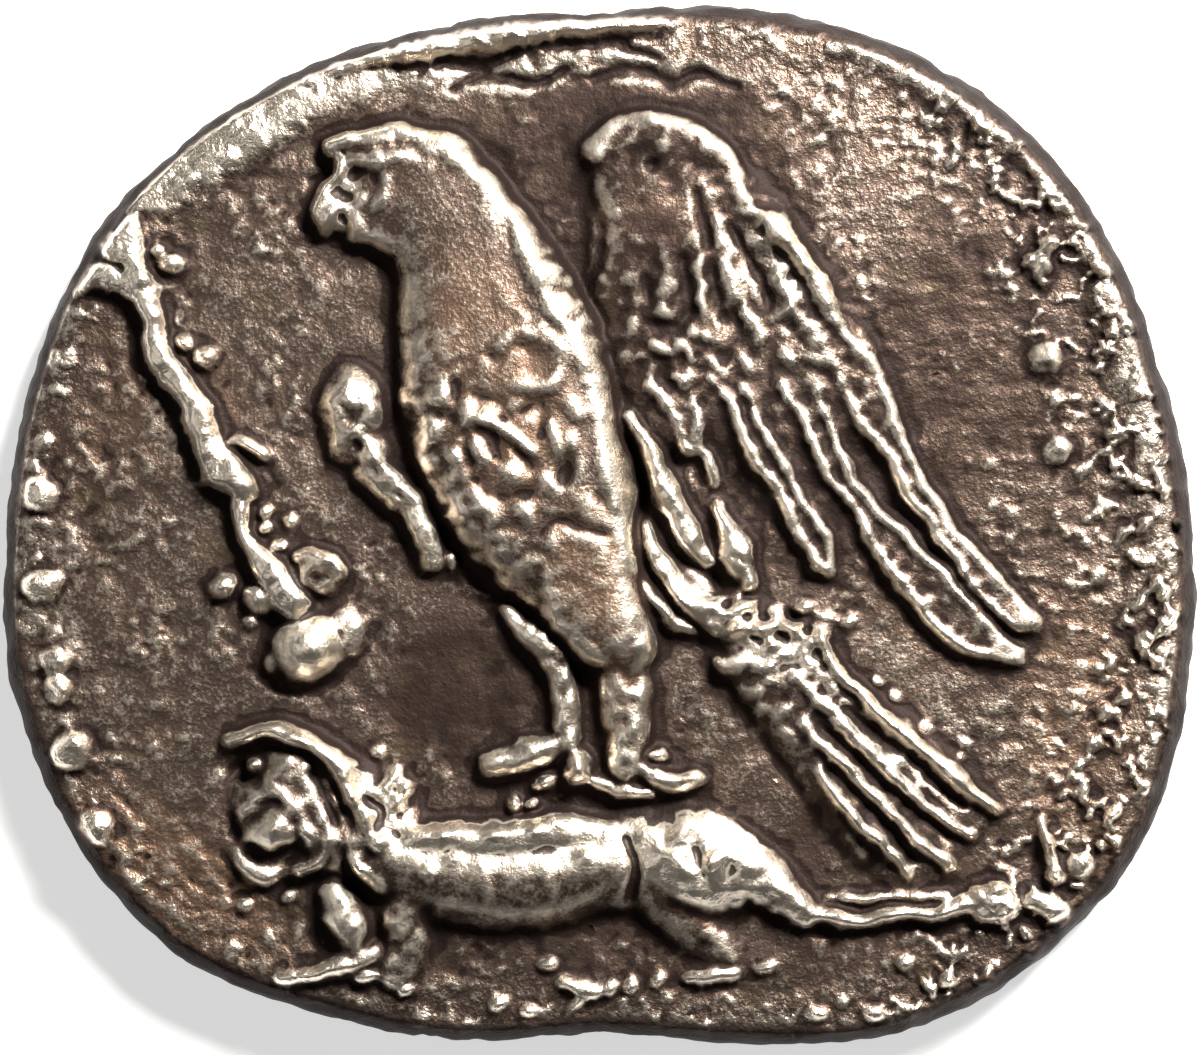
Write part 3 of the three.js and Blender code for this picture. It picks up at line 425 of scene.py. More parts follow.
def carve_tail(c):
    """The fan of the tail."""
    c.ridge([(15.5, -13.5), (21, -19.5), (27, -26.5), (31.5, -32)], [3, 4.2, 5.4, 4.6],
            [.42, .38, .34, .22], FULL)
    c.ridge([(12.4, -14.2), (15, -15.4), (17, -16.6)], [.9, 1.6, 1.9], [.2, .38, .4])
    c.ridge([(12.4, -13.7), (16.2, -13.5), (19.8, -12.7), (21.9, -10.9)], [1.1, 1.3, 1.3, .9],
            [.44, .48, .46, .4], FULL)
    c.ridge([(19, -13), (25, -18.5), (31, -23.5), (36.5, -28.5)], [2.4, 3, 3.4, 2.6], [.38, .36, .3, .16],
            FULL)
    quills = (
        [(21.9, -10.9), (23.9, -14.7), (27, -17.8), (30.8, -21.1), (34.6, -24.4), (37.9, -27),
                (39.7, -28.5)],
        [(19.1, -14.7), (21.9, -17.5), (25.7, -21.1), (29.5, -25.2), (32.8, -28.3), (37.2, -30.8)],
        [(20.3, -19.6), (23.1, -22.6), (26.4, -25.7), (29.5, -29), (34.1, -33.4), (34.9, -33.9)],
        [(21.9, -24.2), (24.2, -27.7), (27, -30.8), (29.3, -33.1), (30.8, -34.9)],
    )
    for quill, half in zip(quills, (.95, 1.2, 1, .85)):
        c.ridge(quill, [.8 * half, half, half, half, .6 * half], [.5, .56, .55, .5, .34])
    c.ridge([(15.5, -16.8), (18.3, -19.6), (22.5, -26.5), (26.5, -33)], [.8, .9, .8, .5],
            [.34, .36, .3, .18])
    for path in ([(24.4, -18.1), (30.8, -23.2), (36.7, -27.7)], [(21.9, -19.6), (27, -24.2),
            (35.9, -31.8)],
                 [(23.1, -24.2), (28.2, -29.5), (31.6, -33.1)]):
        c.groove(path, [.4, .5, .35], .15)
    for x, y in ((27.5, -15.5), (29.5, -17), (32.8, -20.1), (35.9, -23.2), (36.6, -21.8)):
        c.boss(x, y, 1, .6, -40, .13)


def carve_body(c):
    """Head, neck, breast and belly in one sweep, with the throat side filled out."""
    c.ridge([(-18.2, 33.9), (-15.4, 31), (-12.9, 26.5), (-11.4, 22), (-9.8, 16.2), (-8.5, 9.7),
            (-6.2, 3.7), (-2.6, -2.1)],
            [5.5, 6.3, 7, 8.3, 9.8, 10, 9, 7], [.66, .7, .74, .82, .9, .95, .95, .88], BODY)
    c.ridge([(-22.3, 34.6), (-17, 34.2)], [4.2, 5.4], [.54, .64], BODY)
    c.ridge([(-23, 31.6), (-17.6, 30.4)], [3.4, 4.4], [.54, .64], BODY)
    c.ridge([(-15, 24), (-14.5, 17), (-13.2, 11), (-10, 5)], [4.6, 5.2, 5.2, 4.2], [.7, .8, .86, .86],
            BODY)
    c.ridge([(-3, -1.8), (-1.2, -6.6), (.3, -9.4), (2.4, -11.4)], [5, 5, 4.6, 3.4], [.93, .92, .86, .72],
            BODY)


def carve_legs(c):
    """Both shanks and the toes that grip the lion."""
    c.ridge([(2.2, -12), (2.6, -17), (2.8, -23.6)], [3, 2.6, 2.3], [.62, .58, .52], FULL)
    c.ridge([(4.1, -12.6), (4.5, -15.9), (4.2, -18)], [.6, .9, .5], [.3, .3, .2])
    c.ridge([(3.4, -24), (7, -25.4), (9.7, -25.2)], [1.5, 1.3, 1], [.48, .48, .4])
    c.boss(5.8, -22.9, 1.3, .9, 10, .44)
    c.ridge([(-.6, -25.2), (2.5, -26.4), (5, -26.6)], [1, 1, .7], [.4, .4, .3])
    c.ridge([(-9.3, -8.5), (-7.8, -10), (-6.1, -11.1), (-4.5, -13.2), (-3.6, -16.3), (-3.4, -19.6),
            (-3.5, -21.6)],
            [.9, 1.3, 1.8, 1.7, 1.6, 1.6, 1.6], [.3, .4, .5, .46, .42, .42, .44], FULL)
    c.ridge([(-10.8, -23.8), (-7.6, -22.8), (-3.8, -21.5)], [1.5, 1.9, 1.5], [.46, .56, .5], FULL)
    c.boss(-2.4, -24, 2, 1.9, 0, .72)
    c.boss(-5.7, -25.5, 1.5, .8, 30, .34)
    c.boss(-8.5, -27.8, .8, .8, 0, .3)
    c.boss(-6.8, -27.6, .8, .7, 0, .3)


def carve_head(c):
    """Hooked beak, brow and eye."""
    c.boss(-26.7, 31.6, 2.2, 2, 60, .52, FULL)
    c.boss(-24.4, 30.6, 2, 1.5, 0, .5, FULL)
    c.ridge([(-26.8, 38), (-26, 36.4), (-26, 35.1), (-27.3, 33.5), (-28.2, 31.6), (-27.6, 30)],
            [1.1, 1, 1, 1, 1.1, 1], [.5, .54, .54, .54, .56, .5])
    c.boss(-20, 36.4, 5.4, 2.8, -6, .66, FULL)
    c.ridge([(-27, 38), (-24.4, 38.6), (-19.8, 38.9), (-16.6, 38.2)], [1, 1.3, 1.5, 1.4],
            [.52, .62, .6, .54], FULL)
    c.swell([(-25, 37), (-22.6, 36.4), (-20.4, 37)], [.6, .8, .7], .08)
    c.pit(-24.5, 35.2, 1.1, .8, 20, .2)
    c.pit(-25.2, 33, .9, .8, 0, .14)
    c.boss(-23.8, 33.3, 1.1, 1, 0, .66)
    c.groove([(-28.6, 34.9), (-27.4, 35.3), (-26.6, 37)], [.5, .6, .5], .14)
    c.groove([(-25.9, 31.2), (-25.2, 30.2), (-25.4, 29.2)], [.3, .5, .3], .16)
    c.swell([(-22.6, 31.6), (-21.4, 33.6), (-21.8, 35.6)], [.6, .8, .6], .06)


def carve_plumage(c):
    """Lines of neck and back, breast feathers, and the groove between body and wing."""
    c.swell([(-16.7, 38), (-13.6, 36.4), (-9.8, 33), (-8.2, 30.6), (-7.2, 27.6), (-6, 24.6), (-4, 21.4),
            (-2, 18), (-.8, 15.6),
             (.2, 12.8), (.6, 9.2), (1, 5), (1.8, 2.2)],
            [.8, .9, 1, 1.1, 1.2, 1.3, 1.5, 1.6, 1.6, 1.5, 1.4, 1.3, .8], [.05, .08, .08, .09, .09, .1,
                    .12, .12, .12, .12, .12, .12, .08])
    c.swell([(-9.9, 17.9), (-8.5, 19), (-6.2, 19.3), (-4.2, 17.7), (-4, 15.4), (-5.5, 13.9), (-8.1, 14)],
            [.7, .9, 1, 1, 1, .9, 1], .09)
    c.pit(-6.6, 16.4, 1.5, 1.3, 0, .05)
    for x, y, long, short, turn, high in (
            (-15.9, 12.9, 1.5, 1, -60, .12), (-16.8, 9.7, 1.3, 1.1, 0, .1), (-13.3, 11.2, 1.4, .9, -70,
                    .13), (-11.4, 10.9, 1.1, .8, 20, .1),
            (-5.1, 4.3, 1.3, .8, -40, .1), (-11.6, 1.7, 1.8, .8, -50, .1), (-14.6, 7.2, 1.1, .7, -60, .1),
            (-9, 5.4, 1.3, .7, -40, .1),
            (-7.6, 1.6, 1.5, .7, -50, .09), (-12, 7.6, 1.6, .7, -60, .12), (-2.4, 11.6, 1.2, .7, -70,
                    .07), (-3, 8.6, 1.1, .7, -70, .08),
            (-8.6, 12.2, 1, .6, 30, .07), (-9.4, 22.6, 1.4, .9, -60, .03), (-1.4, 2, 1.4, .8, -70, .06),
            (-16.6, 6.4, .8, .6, -60, .08)):
        c.lump(x, y, 1.15 * long, 1.25 * short, turn, high)
    c.swell([(-11.8, 10.6), (-9.5, 9.6), (-6.8, 7.5)], [.5, .7, .5], .12)
    c.swell([(-5.1, 10.3), (-4, 7.5)], [.5, .6], .09)
    c.pit(-3.4, 5.4, .9, 1.5, -20, .17)
    for path in ([(-14.6, 14.2), (-14.4, 11), (-15.2, 8)], [(-10.6, 8.8), (-9.8, 6.4)],
            [(-12.8, 5), (-10, 3), (-7, 3.4)],
                 [(-7.8, 11.4), (-5.8, 12), (-5.8, 9)], [(-12.4, 13.2), (-9.8, 12.2)],
                 [(-13.4, 9.2), (-12.8, 6)], [(-8.4, 7.8), (-6.6, 5.8)]):
        c.groove(path, [.5, .8, .5], .07)
    c.groove([(-5.8, -1), (-4, .6), (-1.4, -.2), (.6, -.8)], [.5, .7, .6, .5], .08)
    c.groove([(2.9, 8.8), (4.4, 4.7), (3.9, 1), (3.8, -2.2), (5.6, -5.9), (8.2, -8.9), (10.5, -10.6)],
             [.5, .7, .7, .7, .7, .7, .5], [.2, .32, .36, .36, .36, .3, .16])
    c.groove([(-1.4, 37.5), (-.9, 33), (.2, 29.5), (-.2, 26), (-1.6, 23)], [.4, .5, .5, .6, .5],
            [.05, .06, .08, .1, .1])


def carve_lion(c):
    """The lion stretched out under the eagle's feet."""
    c.ridge([(-20, -33.8), (-14, -34.9), (-7, -35.1), (0, -34), (5, -33.4)], [4.4, 5, 5.1, 4.6, 4.6],
            [.66, .76, .76, .68, .62])
    c.boss(9.4, -33.9, 7, 5.4, -12, .8)
    c.boss(-30, -27.8, 6.4, 6, -20, .3, BODY)
    c.boss(-23, -31.6, 4.4, 4, 0, .56, FULL)
    c.ridge([(12, -32.8), (16.5, -35.4), (20.9, -38.8)], [3.6, 2.8, 1.5], [.6, .54, .42], FULL)
    c.ridge([(5.6, -36.4), (8.8, -39.4), (11.5, -42.1), (12.9, -43.8)], [3, 2.7, 2.1, 1.4],
            [.5, .36, .22, .1])
    c.ridge([(-18, -34), (-19.4, -38.3), (-19.4, -42), (-20.6, -44.7)], [3.2, 2.8, 2.3, 1.7],
            [.6, .46, .34, .24])
    c.ridge([(-26.9, -36.7), (-25.9, -38.7), (-25, -40.2), (-24.8, -42)], [1.7, 2.4, 2, 1.5],
            [.48, .6, .52, .4])
    c.lump(-25, -36.8, 1.2, .9, 20, .1)
    c.ridge([(-32, -45), (-28.5, -44.6), (-25.4, -43.8), (-22.8, -42.8)], [.7, 1.1, 1.3, 1.2],
            [.26, .4, .46, .42])
    c.boss(-23.3, -44.8, 1.6, .8, 10, .34)
    c.pit(-28.4, -40.8, 1.4, 1, 60, .12)
    # head: hollow ear under an arched brow, muzzle, jaw
    c.ridge([(-30.6, -25.4), (-28.6, -28.4), (-26, -31.5), (-22.5, -33)], [3.7, 3.7, 3.5, 3.1],
            [.52, .56, .56, .58], FULL)
    c.boss(-32.2, -30.2, 4, 3.5, 10, .7)
    c.ridge([(-37, -21.3), (-33.4, -20.4), (-30.4, -20.9), (-27.3, -22.7), (-25.4, -25), (-24.2, -28),
            (-22.5, -31.5),
             (-20, -34.2)], [.7, 1, 1.3, 1.5, 1.4, 1.2, 1.1, .9], [.36, .54, .64, .7, .7, .68, .66, .62])
    c.pit(-35.2, -24.2, 2.4, 1.7, 20, .36)
    c.boss(-34.6, -23.8, 1, .8, 0, .36)
    c.swell([(-36, -28.5), (-34, -26.9), (-32.2, -26.6), (-30.3, -28.3), (-29.3, -30.4)],
            [.6, .8, .9, .9, .7], .13)
    c.ridge([(-36.6, -31.8), (-35.8, -33.4), (-33.8, -34.6), (-31.4, -34.2)], [.7, 1.1, 1.3, .9],
            [.08, .28, .38, .28])
    c.pit(-36.2, -30.6, .7, .9, 0, .2)
    c.groove([(-35.2, -31.8), (-32.6, -32.9), (-30, -31.8)], [.35, .5, .35], .2)
    c.lump(-33.2, -29.7, 1.6, 1.2, 0, .06)
    c.lump(-27.3, -28.9, .9, .7, 0, .15)
    c.lump(-27.1, -31, .9, .7, 0, .15)
    c.ridge([(-26.7, -32.2), (-28.4, -33.4), (-30.2, -34.3)], [.9, 1, .8], [.56, .56, .48])
    c.swell([(-24.3, -34), (-22, -35.7)], [.7, .8], .12)
    c.groove([(-28.8, -24.6), (-27.4, -27), (-26.2, -29.4)], [.4, .6, .5], .22)
    c.groove([(-25.6, -32.4), (-24.6, -35.4), (-22, -37.4)], [.4, .6, .5], .22)
    # mane along the neck
    c.boss(-21.6, -27.4, 3.4, 3.4, 0, .3, FULL)
    c.ridge([(-25.3, -24.6), (-23.4, -26.2), (-22, -27.3), (-21, -29), (-20.6, -30.6)],
            [1, 1.2, 1.1, 1.2, 1.2], [.42, .44, .4, .44, .46])
    for x, y, long, short, turn in (
            (-23.8, -24.3, 1.2, .8, -40), (-21.6, -26, 1.2, .7, 40), (-20, -27.6, 1, .8, -30),
            (-18.8, -29.2, 1.2, .7, 30),
            (-23.2, -28.8, 1, .8, 60), (-21.9, -31.2, 1.1, .9, 0), (-16.8, -29.4, 1, .6, -20),
            (-22.6, -22.9, .8, .6, 0),
            (-20.4, -24.6, .8, .6, 30), (-19.2, -26.2, .7, .6, 0), (-24.8, -26.6, .8, .7, 0),
            (-18.2, -31, 1.1, .7, 0)):
        c.lump(x, y, 1.1 * long, 1.2 * short, turn, .17)
    # back line, ribs, belly line
    c.ridge([(-20.6, -30.5), (-18, -31.4), (-13.9, -31.3), (-9.9, -31.3), (-6.7, -31), (-3.8, -30.5),
            (-.6, -30.7), (2.9, -31.2)],
            [1.3, 2, 2.2, 2.3, 2.2, 2, 1.7, 1.1], [.46, .6, .66, .68, .66, .6, .5, .4], FULL)
    c.swell([(-16.1, -37.4), (-11, -38), (-7.8, -38.4), (-3.2, -37.6), (-.3, -36.4), (2.9, -34)],
            [.5, .7, .8, .8, .7, .5], .04)
    for path in ([(-5.9, -33.4), (-4.6, -36.6)], [(-12, -33.4), (-11, -36.8)]):
        c.swell(path, [.7, .6], .04)
    c.lumps(((-1.6, -32.7, .9, .8, 0), (-17.2, -34.3, 1, .8, 0), (-14.6, -33, 1, .6, 30),
            (-10.6, -30.6, 1.2, .5, 0),
                                    (-6.2, -30.3, 1, .5, 10), (-15.6, -30.8, .8, .5, 0)), .1)
    c.groove([(2.6, -31), (3.6, -34), (3, -37)], [.4, .7, .5], .2)
    c.lumps(((4.8, -30.5, 1.3, 1, 40), (8.3, -29.9, 1.9, 1, 0), (11.5, -33, 1.7, 1, 40),
            (7, -33.2, 1.8, 1, -50),
                                    (14.6, -33.6, 1.6, .8, -40), (9.6, -36.6, 2, .9, -20),
                                    (17.4, -36.2, 1.2, .7, -40)), .11)
    c.groove([(6.2, -31.6), (9.4, -32), (10, -34.6)], [.35, .5, .4], .13)
    # tail, ending in a tuft
    c.ridge([(20.9, -38.8), (25.3, -39.4), (30.5, -38.6), (34.1, -38.5), (36.6, -37.8)],
            [1.2, 1, 1, 1.1, 1.3], [.43, .42, .42, .42, .44])
    c.ridge([(22.6, -37.3), (28.8, -37), (34.9, -36.7)], [.5, .6, .6], [.18, .26, .26])
    c.boss(39.4, -37.6, 3, 2.2, 0, .44, FULL)
    c.lumps(((37.6, -36.6, .8, .7, 0), (39.8, -36, 1, .7, 0), (41.4, -37.8, .8, .8, 0),
            (38.4, -39, 1, .6, 0), (39.6, -37.6, .7, .6, 0)), .13)
    c.ridge([(43.2, -37.2), (45, -38), (47, -39.4)], [1.1, 1.4, 1.1], [.34, .4, .3])


def carve_twig(c):
    """The knotted twig in front of the eagle."""
    c.boss(-47.4, 30.4, 1.8, 1.5, 40, .44)
    c.boss(-48, 28.2, 2.6, 2.6, 0, .46, FULL)
    c.ridge([(-47.2, 30), (-46.8, 26.6), (-45.8, 23.9), (-45, 21.3), (-44.2, 17.6), (-42.3, 14.3),
            (-40.3, 11.7)],
            [1.5, 1.6, 1.5, 1.4, 1.4, 1.6, 1.7], [.48, .52, .5, .48, .48, .52, .54], FULL)
    c.ridge([(-52.5, 23.7), (-50.9, 25.1), (-48.3, 24.5), (-46.4, 23.5)], [1, 1.3, 1.3, 1.2],
            [.28, .38, .42, .4], FULL)
    c.ridge([(-40.3, 11), (-38.9, 7.6), (-37.7, 5.6), (-35.6, 3.7)], [1.7, 1.8, 2, 1.5],
            [.54, .54, .56, .5], FULL)
    c.lump(-38.8, 4.6, 1.6, .8, 10, .1)
    c.ridge([(-35.9, 2.3), (-35.5, -.5), (-34.4, -2.7), (-32.7, -4.8), (-30.5, -7.8)],
            [.9, 1, 1.3, 1.6, 1.7], [.44, .48, .52, .56, .58], FULL)
    c.lump(-39.4, 11.4, 1.3, .9, -50, .06)
    c.lump(-36.6, 4.4, 1, .7, -40, .08)
    c.boss(-37.6, -5.9, 1.6, 1.5, 0, .5)
    c.boss(-33.8, -7, 1.9, 1.8, 0, .44)
    c.boss(-28.3, -4.2, 2.7, 2.3, -20, .4, FULL)
    c.swell([(-30.7, -3.1), (-29, -2.4), (-26.8, -3.2), (-25.8, -4.8)], [.5, .6, .7, .5], .14)
    c.pit(-28.4, -4.9, 1, .7, 0, .16)
    c.boss(-25.6, -10.6, 2.2, 2.8, 0, .3, FULL)
    c.boss(-29.2, -12, 3.9, 3.6, 0, .9)
    c.boss(-32.6, -13.4, 1.1, 1.5, 0, .32)
    c.groove([(-34.8, -14.2), (-32, -16), (-29, -16.8), (-26.2, -15.4)], [.5, .6, .6, .5], .06)
    for x, y, long, short in ((-43, 26.3, 1.8, 1.2), (-44.4, 27.8, .9, .8), (-39.7, 17, 1.4, 1.3),
            (-41.7, 18.6, 1.1, .9), (-44.6, 24, .8, .7)):
        c.boss(x, y, long, short, -20, .33)
    c.ridge([(-37.6, 8), (-36.2, 8.4), (-33.6, 7.2)], [.8, .9, .8], [.32, .36, .3])
    for x, y in ((-33.6, 1.3), (-33.5, 0), (-32.2, -2), (-35, -9.4), (-31, .4)):
        c.boss(x, y, .8, .7, 0, .24)


def carve_seed(c):
    """The seed or bud between twig and eagle."""
    c.boss(-24.5, 11.1, 3.3, 5, 6, .56, FULL)
    c.boss(-23, 7.6, 2.5, 2.8, 0, .52, FULL)
    c.ridge([(-22.8, 6), (-20.3, 3.4), (-18.4, 1.2), (-17.4, -1.4), (-16.8, -3.6)],
            [2.1, 1.9, 1.7, 1.4, 1.2], [.52, .52, .5, .46, .42], FULL)
    c.pit(-24.4, 8.1, .9, .7, 0, .2)
    c.pit(-19.9, 3, .7, .6, 0, .14)
    c.swell([(-26.6, 12.6), (-25.4, 14.4), (-23.6, 13.8), (-22.8, 11.8)], [.5, .7, .7, .5], .07)
    c.groove([(-25.6, 12), (-24.8, 10.4)], .5, .06)
    c.swell([(-23.4, 8.4), (-21.6, 6.4), (-20, 5)], [.5, .6, .5], .08)
    c.boss(-15, -3.4, .8, 1.1, 0, .3)


def carve_border(c):
    """What is left of the dotted border, the lips pushed up by the die, and crumbs of the lower edge."""
    for x, y, size, high in (
            (-56.3, 3.3, 1.9, .44), (-56, -6, 1.9, .46), (-54.8, -13.6, 1.5, .44), (-54.4, -16, 1.4, .42),
            (-53, -22.3, 2.1, .5),
            (-51, -30.2, 2, .46), (-55.9, 8.5, 1.1, .16), (-55.2, 16.9, 1.2, .18), (43.9, 26.4, 1.7, .36),
            (45, 28.3, 1.1, .32),
            (44.7, 16.9, 2, .38), (45.8, 7.4, 1.5, .32), (54, -26.8, 1.2, .2), (55.6, -18, 1.2, .16),
            (48, -33.9, 1.5, .34)):
        c.boss(x, y, size, size * .95, 0, .68 * high, FULL)
        c.lump(x + .4 * size, y + .3 * size, .6 * size, .5 * size, 30, .05)
        c.pit(x - .4 * size, y - .3 * size, .4 * size, .3 * size, 0, .06)
    c.ridge([(44.2, -29.5), (44.8, -32), (45.9, -35.2)], [.5, .8, .9], [.3, .38, .32])
    for x, y in ((-54.3, -25.9), (-49.6, -33.7), (-50.8, -22)):
        c.pit(x, y, 1.1, .9, 0, .09)
    c.ridge([(-49.5, 27.5), (-48.1, 31.3), (-44.4, 35.6), (-40.2, 39.3), (-32.3, 44), (-26.4, 46.8),
            (-19.3, 48), (-12.6, 48.7), (-4.6, 50.4),
             (1.7, 50.8), (8, 51)],
            [1, 1.1, 1, 1, 1, 1.2, 1.4, 1.3, 1.5, 1.3, .9], [.24, .34, .32, .3, .3, .34, .36, .3, .36,
                    .28, .1], FULL)
    c.ridge([(-46, 30), (-39, 36.4), (-31, 41.4), (-24, 44.6)], [2, 2.6, 2.6, 1.8], [.1, .16, .16, .08])
    c.ridge([(23.7, 48.2), (28.8, 46.8), (35.6, 43.2), (39.9, 40.4), (44.7, 36.1), (47.8, 32.1),
            (50.6, 27.2), (52.6, 21.1), (54.1, 13.2), (56.1, 6),
             (56, -3), (56.5, -12), (55, -21), (51.5, -30)],
            [1.2, 1.5, 1.6, 1.9, 1.8, 2.2, 2.4, 2.8, 3, 3.2, 3, 3.2, 3, 2.4], [.08, .13, .14, .15, .16,
                    .16, .18, .17, .16, .15, .12, .14, .14, .1])
    for x, y, size in ((-46.5, 33, .9), (-37.5, 41.2, 1), (-29.4, 45.4, .9), (-22.6, 47.4, 1.3),
            (-19, 47.6, 1),
                       (-15.8, 48, 1.5), (-12.4, 48.3, 1), (-9.4, 49.6, 1.4), (-6, 49.8, 1.2),
                       (-2.8, 50.6, 1.3), (.6, 50.4, 1.2),
                       (3.8, 50.7, 1), (-14.6, 46.6, .7)):
        c.lump(x, y, size, size * .75, 30, .08)
    c.ridge([(-3.8, -45.5), (-2, -46.3), (-.3, -46.6)], [.7, .9, .8], [.24, .3, .26])
    c.ridge([(8.6, -45.3), (11, -44.9), (13.6, -44.7)], [.7, .9, .7], [.24, .3, .24])
    for x, y, long, short, turn in (
            (1.1, -46.3, .9, .8, 0), (2.9, -46.1, .9, .9, 0), (-2.2, -47.4, 1.1, .6, 20),
            (-9.9, -47.7, 1.1, .7, 10), (-7.2, -48.5, 1, .6, 0),
            (-19.4, -46.3, 1.1, .7, 20), (30.5, -43.5, 1.1, .6, -10), (34.9, -45.3, 1, .6, 0),
            (27.6, -48.8, 1.1, .7, 0), (21.7, -48.8, 1.2, .7, 0),
            (5.8, -45.4, .9, .6, 40), (-5, -43.9, 1, .6, 0), (-35.5, -38, .9, .6, 0),
            (-31.4, -37, .8, .6, 0), (16.5, -44.2, .9, .6, 0)):
        c.boss(x, y, long, short, turn, .25)
    c.groove([(-16.5, 46.8), (-12.4, 46.2), (-8.6, 47.5)], [.5, .9, .5], .15)
    c.groove([(-4, 48.1), (1.7, 48.4), (6, 47.4)], [.4, .8, .4], .13)
    c.groove([(-15, 44), (-11.6, 45.3), (-7, 44.4), (-3.4, 45.7)], [.4, .9, .6, .4], .14)
    c.groove([(-1, 44.8), (3.4, 46), (7, 44.6), (10, 45.4), (14, 44)], [.4, .8, .9, .6, .3], .12)


def carve_ear(c):
    """A barley ear: a stem, pairs of grains leaning out of it, and a beard."""
    c.ridge([(0, -32), (.6, -24), (0, EAR_FOOT)], [1, 1.2, 1.2], .7, FULL)
    for row in range(EAR_ROWS):
        y = EAR_FOOT + row * ROW_GAP
        shrink = 1 - .05 * row
        for side in (-1, 1):
            x = side * GRAIN_REACH * shrink
            c.boss(x, y, GRAIN_LENGTH * shrink, GRAIN_WIDTH * shrink, 90 - side * GRAIN_LEAN, 1, BROAD)
            c.groove([(x * 1.1, y - 3), (x * 1.4, y + 2.4)], [.2, .35, .2], .1)
    top = EAR_FOOT + EAR_ROWS * ROW_GAP
    c.boss(0, top - 1, GRAIN_LENGTH, GRAIN_WIDTH, 90, 1, BROAD)
    for lean in (-10, -5, 0, 5, 10):
        c.ridge([(lean * .25, top), (lean, top + 14 - abs(lean) * .4)], [1, .7], [.6, .4])


def ramp(value, start, end):
    """0 before start, 1 after end, and a soft slope between."""
    share = np.clip((value - start) / (end - start), 0, 1)
    return share * share * (3 - 2 * share)


class SideMap:
    """Maps of one side of the coin over the whole carving grid, in steps."""

    def __init__(self):
        line = np.arange(-MAP_REACH, MAP_REACH + MAP_GAP / 2, MAP_GAP)
        self.x, self.y = np.meshgrid(line, line)
        self.share = np.hypot(self.x, self.y) / edge_radius(np.arctan2(self.y, self.x))

    def carve(self, parts, wander, seed):
        """Carves the parts on a grid whose lines wander a little."""
        x, y = self.x, self.y
        shift = [wander * gradient_noise(x, y, WANDER_COARSE, seed + way)
                 + WANDER_FINE_SHARE * wander * gradient_noise(x, y, WANDER_FINE, seed + 2 + way)
                 for way in (0, 1)]
        carving = Carving(x + shift[0], y + shift[1])
        for part in parts:
            part(carving)
        return carving.height

    def finish(self, height):
        """Keeps the heights, in steps, and finds where dirt stays and where hands rub."""
        self.height = height
        broad = height - soften(height, BROAD_REACH)
        close = height - soften(height, CLOSE_REACH)
        uneven = layered_noise(self.x, self.y, UNEVEN_DIRT, 1)
        self.recess = np.clip(-(DIRT_BROAD * broad + DIRT_CLOSE * close) * uneven - DIRT_LEAST, 0, 1)
        self.worn = np.clip(RUB_BROAD * broad + RUB_CLOSE * close - RUB_LEAST, 0, 1)

    def sample(self, values, x, y):
        """Values of a map at places between its points."""
        u = np.clip((x + MAP_REACH) / MAP_GAP, 0, self.x.shape[1] - 1.001)
        v = np.clip((y + MAP_REACH) / MAP_GAP, 0, self.x.shape[0] - 1.001)
        column, row = u.astype(int), v.astype(int)
        across, up = u - column, v - row
        low = values[row, column] * (1 - across) + values[row, column + 1] * across
        high = values[row + 1, column] * (1 - across) + values[row + 1, column + 1] * across
        return low * (1 - up) + high * up


def face_grain(side, bare, smooth, right, rim):
    """Lumps, flow lines and crumbs of the worn ground, in steps."""
    x, y = side.x, side.y
    east = ramp(x, *EAST_FIELD) * ramp(side.share, *EAST_RIM)
    drift = layered_noise(x, y, DRIFT)
    patchy = LEAST_PATCH + ramp(gradient_noise(x, y, *PATCHES), -.5, .6)
    patchy = patchy * (1 - SMOOTHED_AWAY * smooth)
    lumps = layered_noise(x, y, BROAD_LUMPS) + patchy * (
        .13 * gradient_noise(x + drift, y, 1.7, 12) + .1 * gradient_noise(x, y + drift, .95, 13)
        + .04 * gradient_noise(x, y, .55, 21))
    flow = (.11 * gradient_noise(x / 4, y + drift, 1.2, 14, .06)
            + .07 * gradient_noise(x / 2.5, y + drift, .75, 15, -.05))
    flowing = FLOW_ANYWHERE + FLOW_IN_PLACES * np.maximum(right, stain(x, y, FLOW_SPOTS))
    crumbs = np.clip(gradient_noise(x, y + drift, 2.6, 16) + .7 * gradient_noise(x + drift, y, 1.3, 18)
                     + .4 * gradient_noise(x, y, .7, 23) - CRUMBS_LEAST, 0, 1)
    cosine, sine = SWEPT_TURN
    swept = gradient_noise((cosine * x - sine * y) / 4, sine * x + cosine * y + drift, 1.3, 61, .06)
    low_left = stain(x, y, SWEPT_SPOTS) * bare
    return (lumps * (LUMPS_ON_CARVING + (1 - LUMPS_ON_CARVING) * bare) + flow * flowing * bare
            + SWEPT_LINES * swept * low_left + (RIM_CRUMBS * rim + EAST_CRUMBS * east) * crumbs)


def colour_face(side, carved, bare, right, rim):
    """How coarse, warm, toned, worn and crusted the face is, from its spots and its margin, with painted
    highlight on the lion's back and painted shadow under its body.
    """
    x, y, share = side.x, side.y, side.share
    side.coarse = np.clip(.4 + .3 * right + .6 * rim, 0, 1)
    side.warmth = stain(x, y, WARM_SPOTS) + .3 * gradient_noise(x, y, 9, 17)
    # Toned spots; those low on the lion paint the shadow under its body.
    side.toning = stain(x, y, TONED_AND_SHADOW_SPOTS) + .25 * gradient_noise(x, y, 6, 22)
    # Spots rubbed clean; on the lion's back, rump and tail tuft they paint highlight.
    rubbed_and_highlit = stain(x, y, RUBBED_AND_HIGHLIT_SPOTS) * (.25 + ramp(carved, .1, .35))
    dull = ramp(x - y, *DULL_LIP) * bare
    side.worn = np.clip(side.worn + rubbed_and_highlit, 0, 1) * (1 - ramp(share, *UNRUBBED_RIM) * dull)
    side.recess = np.maximum(side.recess, RIM_DIRT * ramp(share, *DIRTY_RIM) * dull)


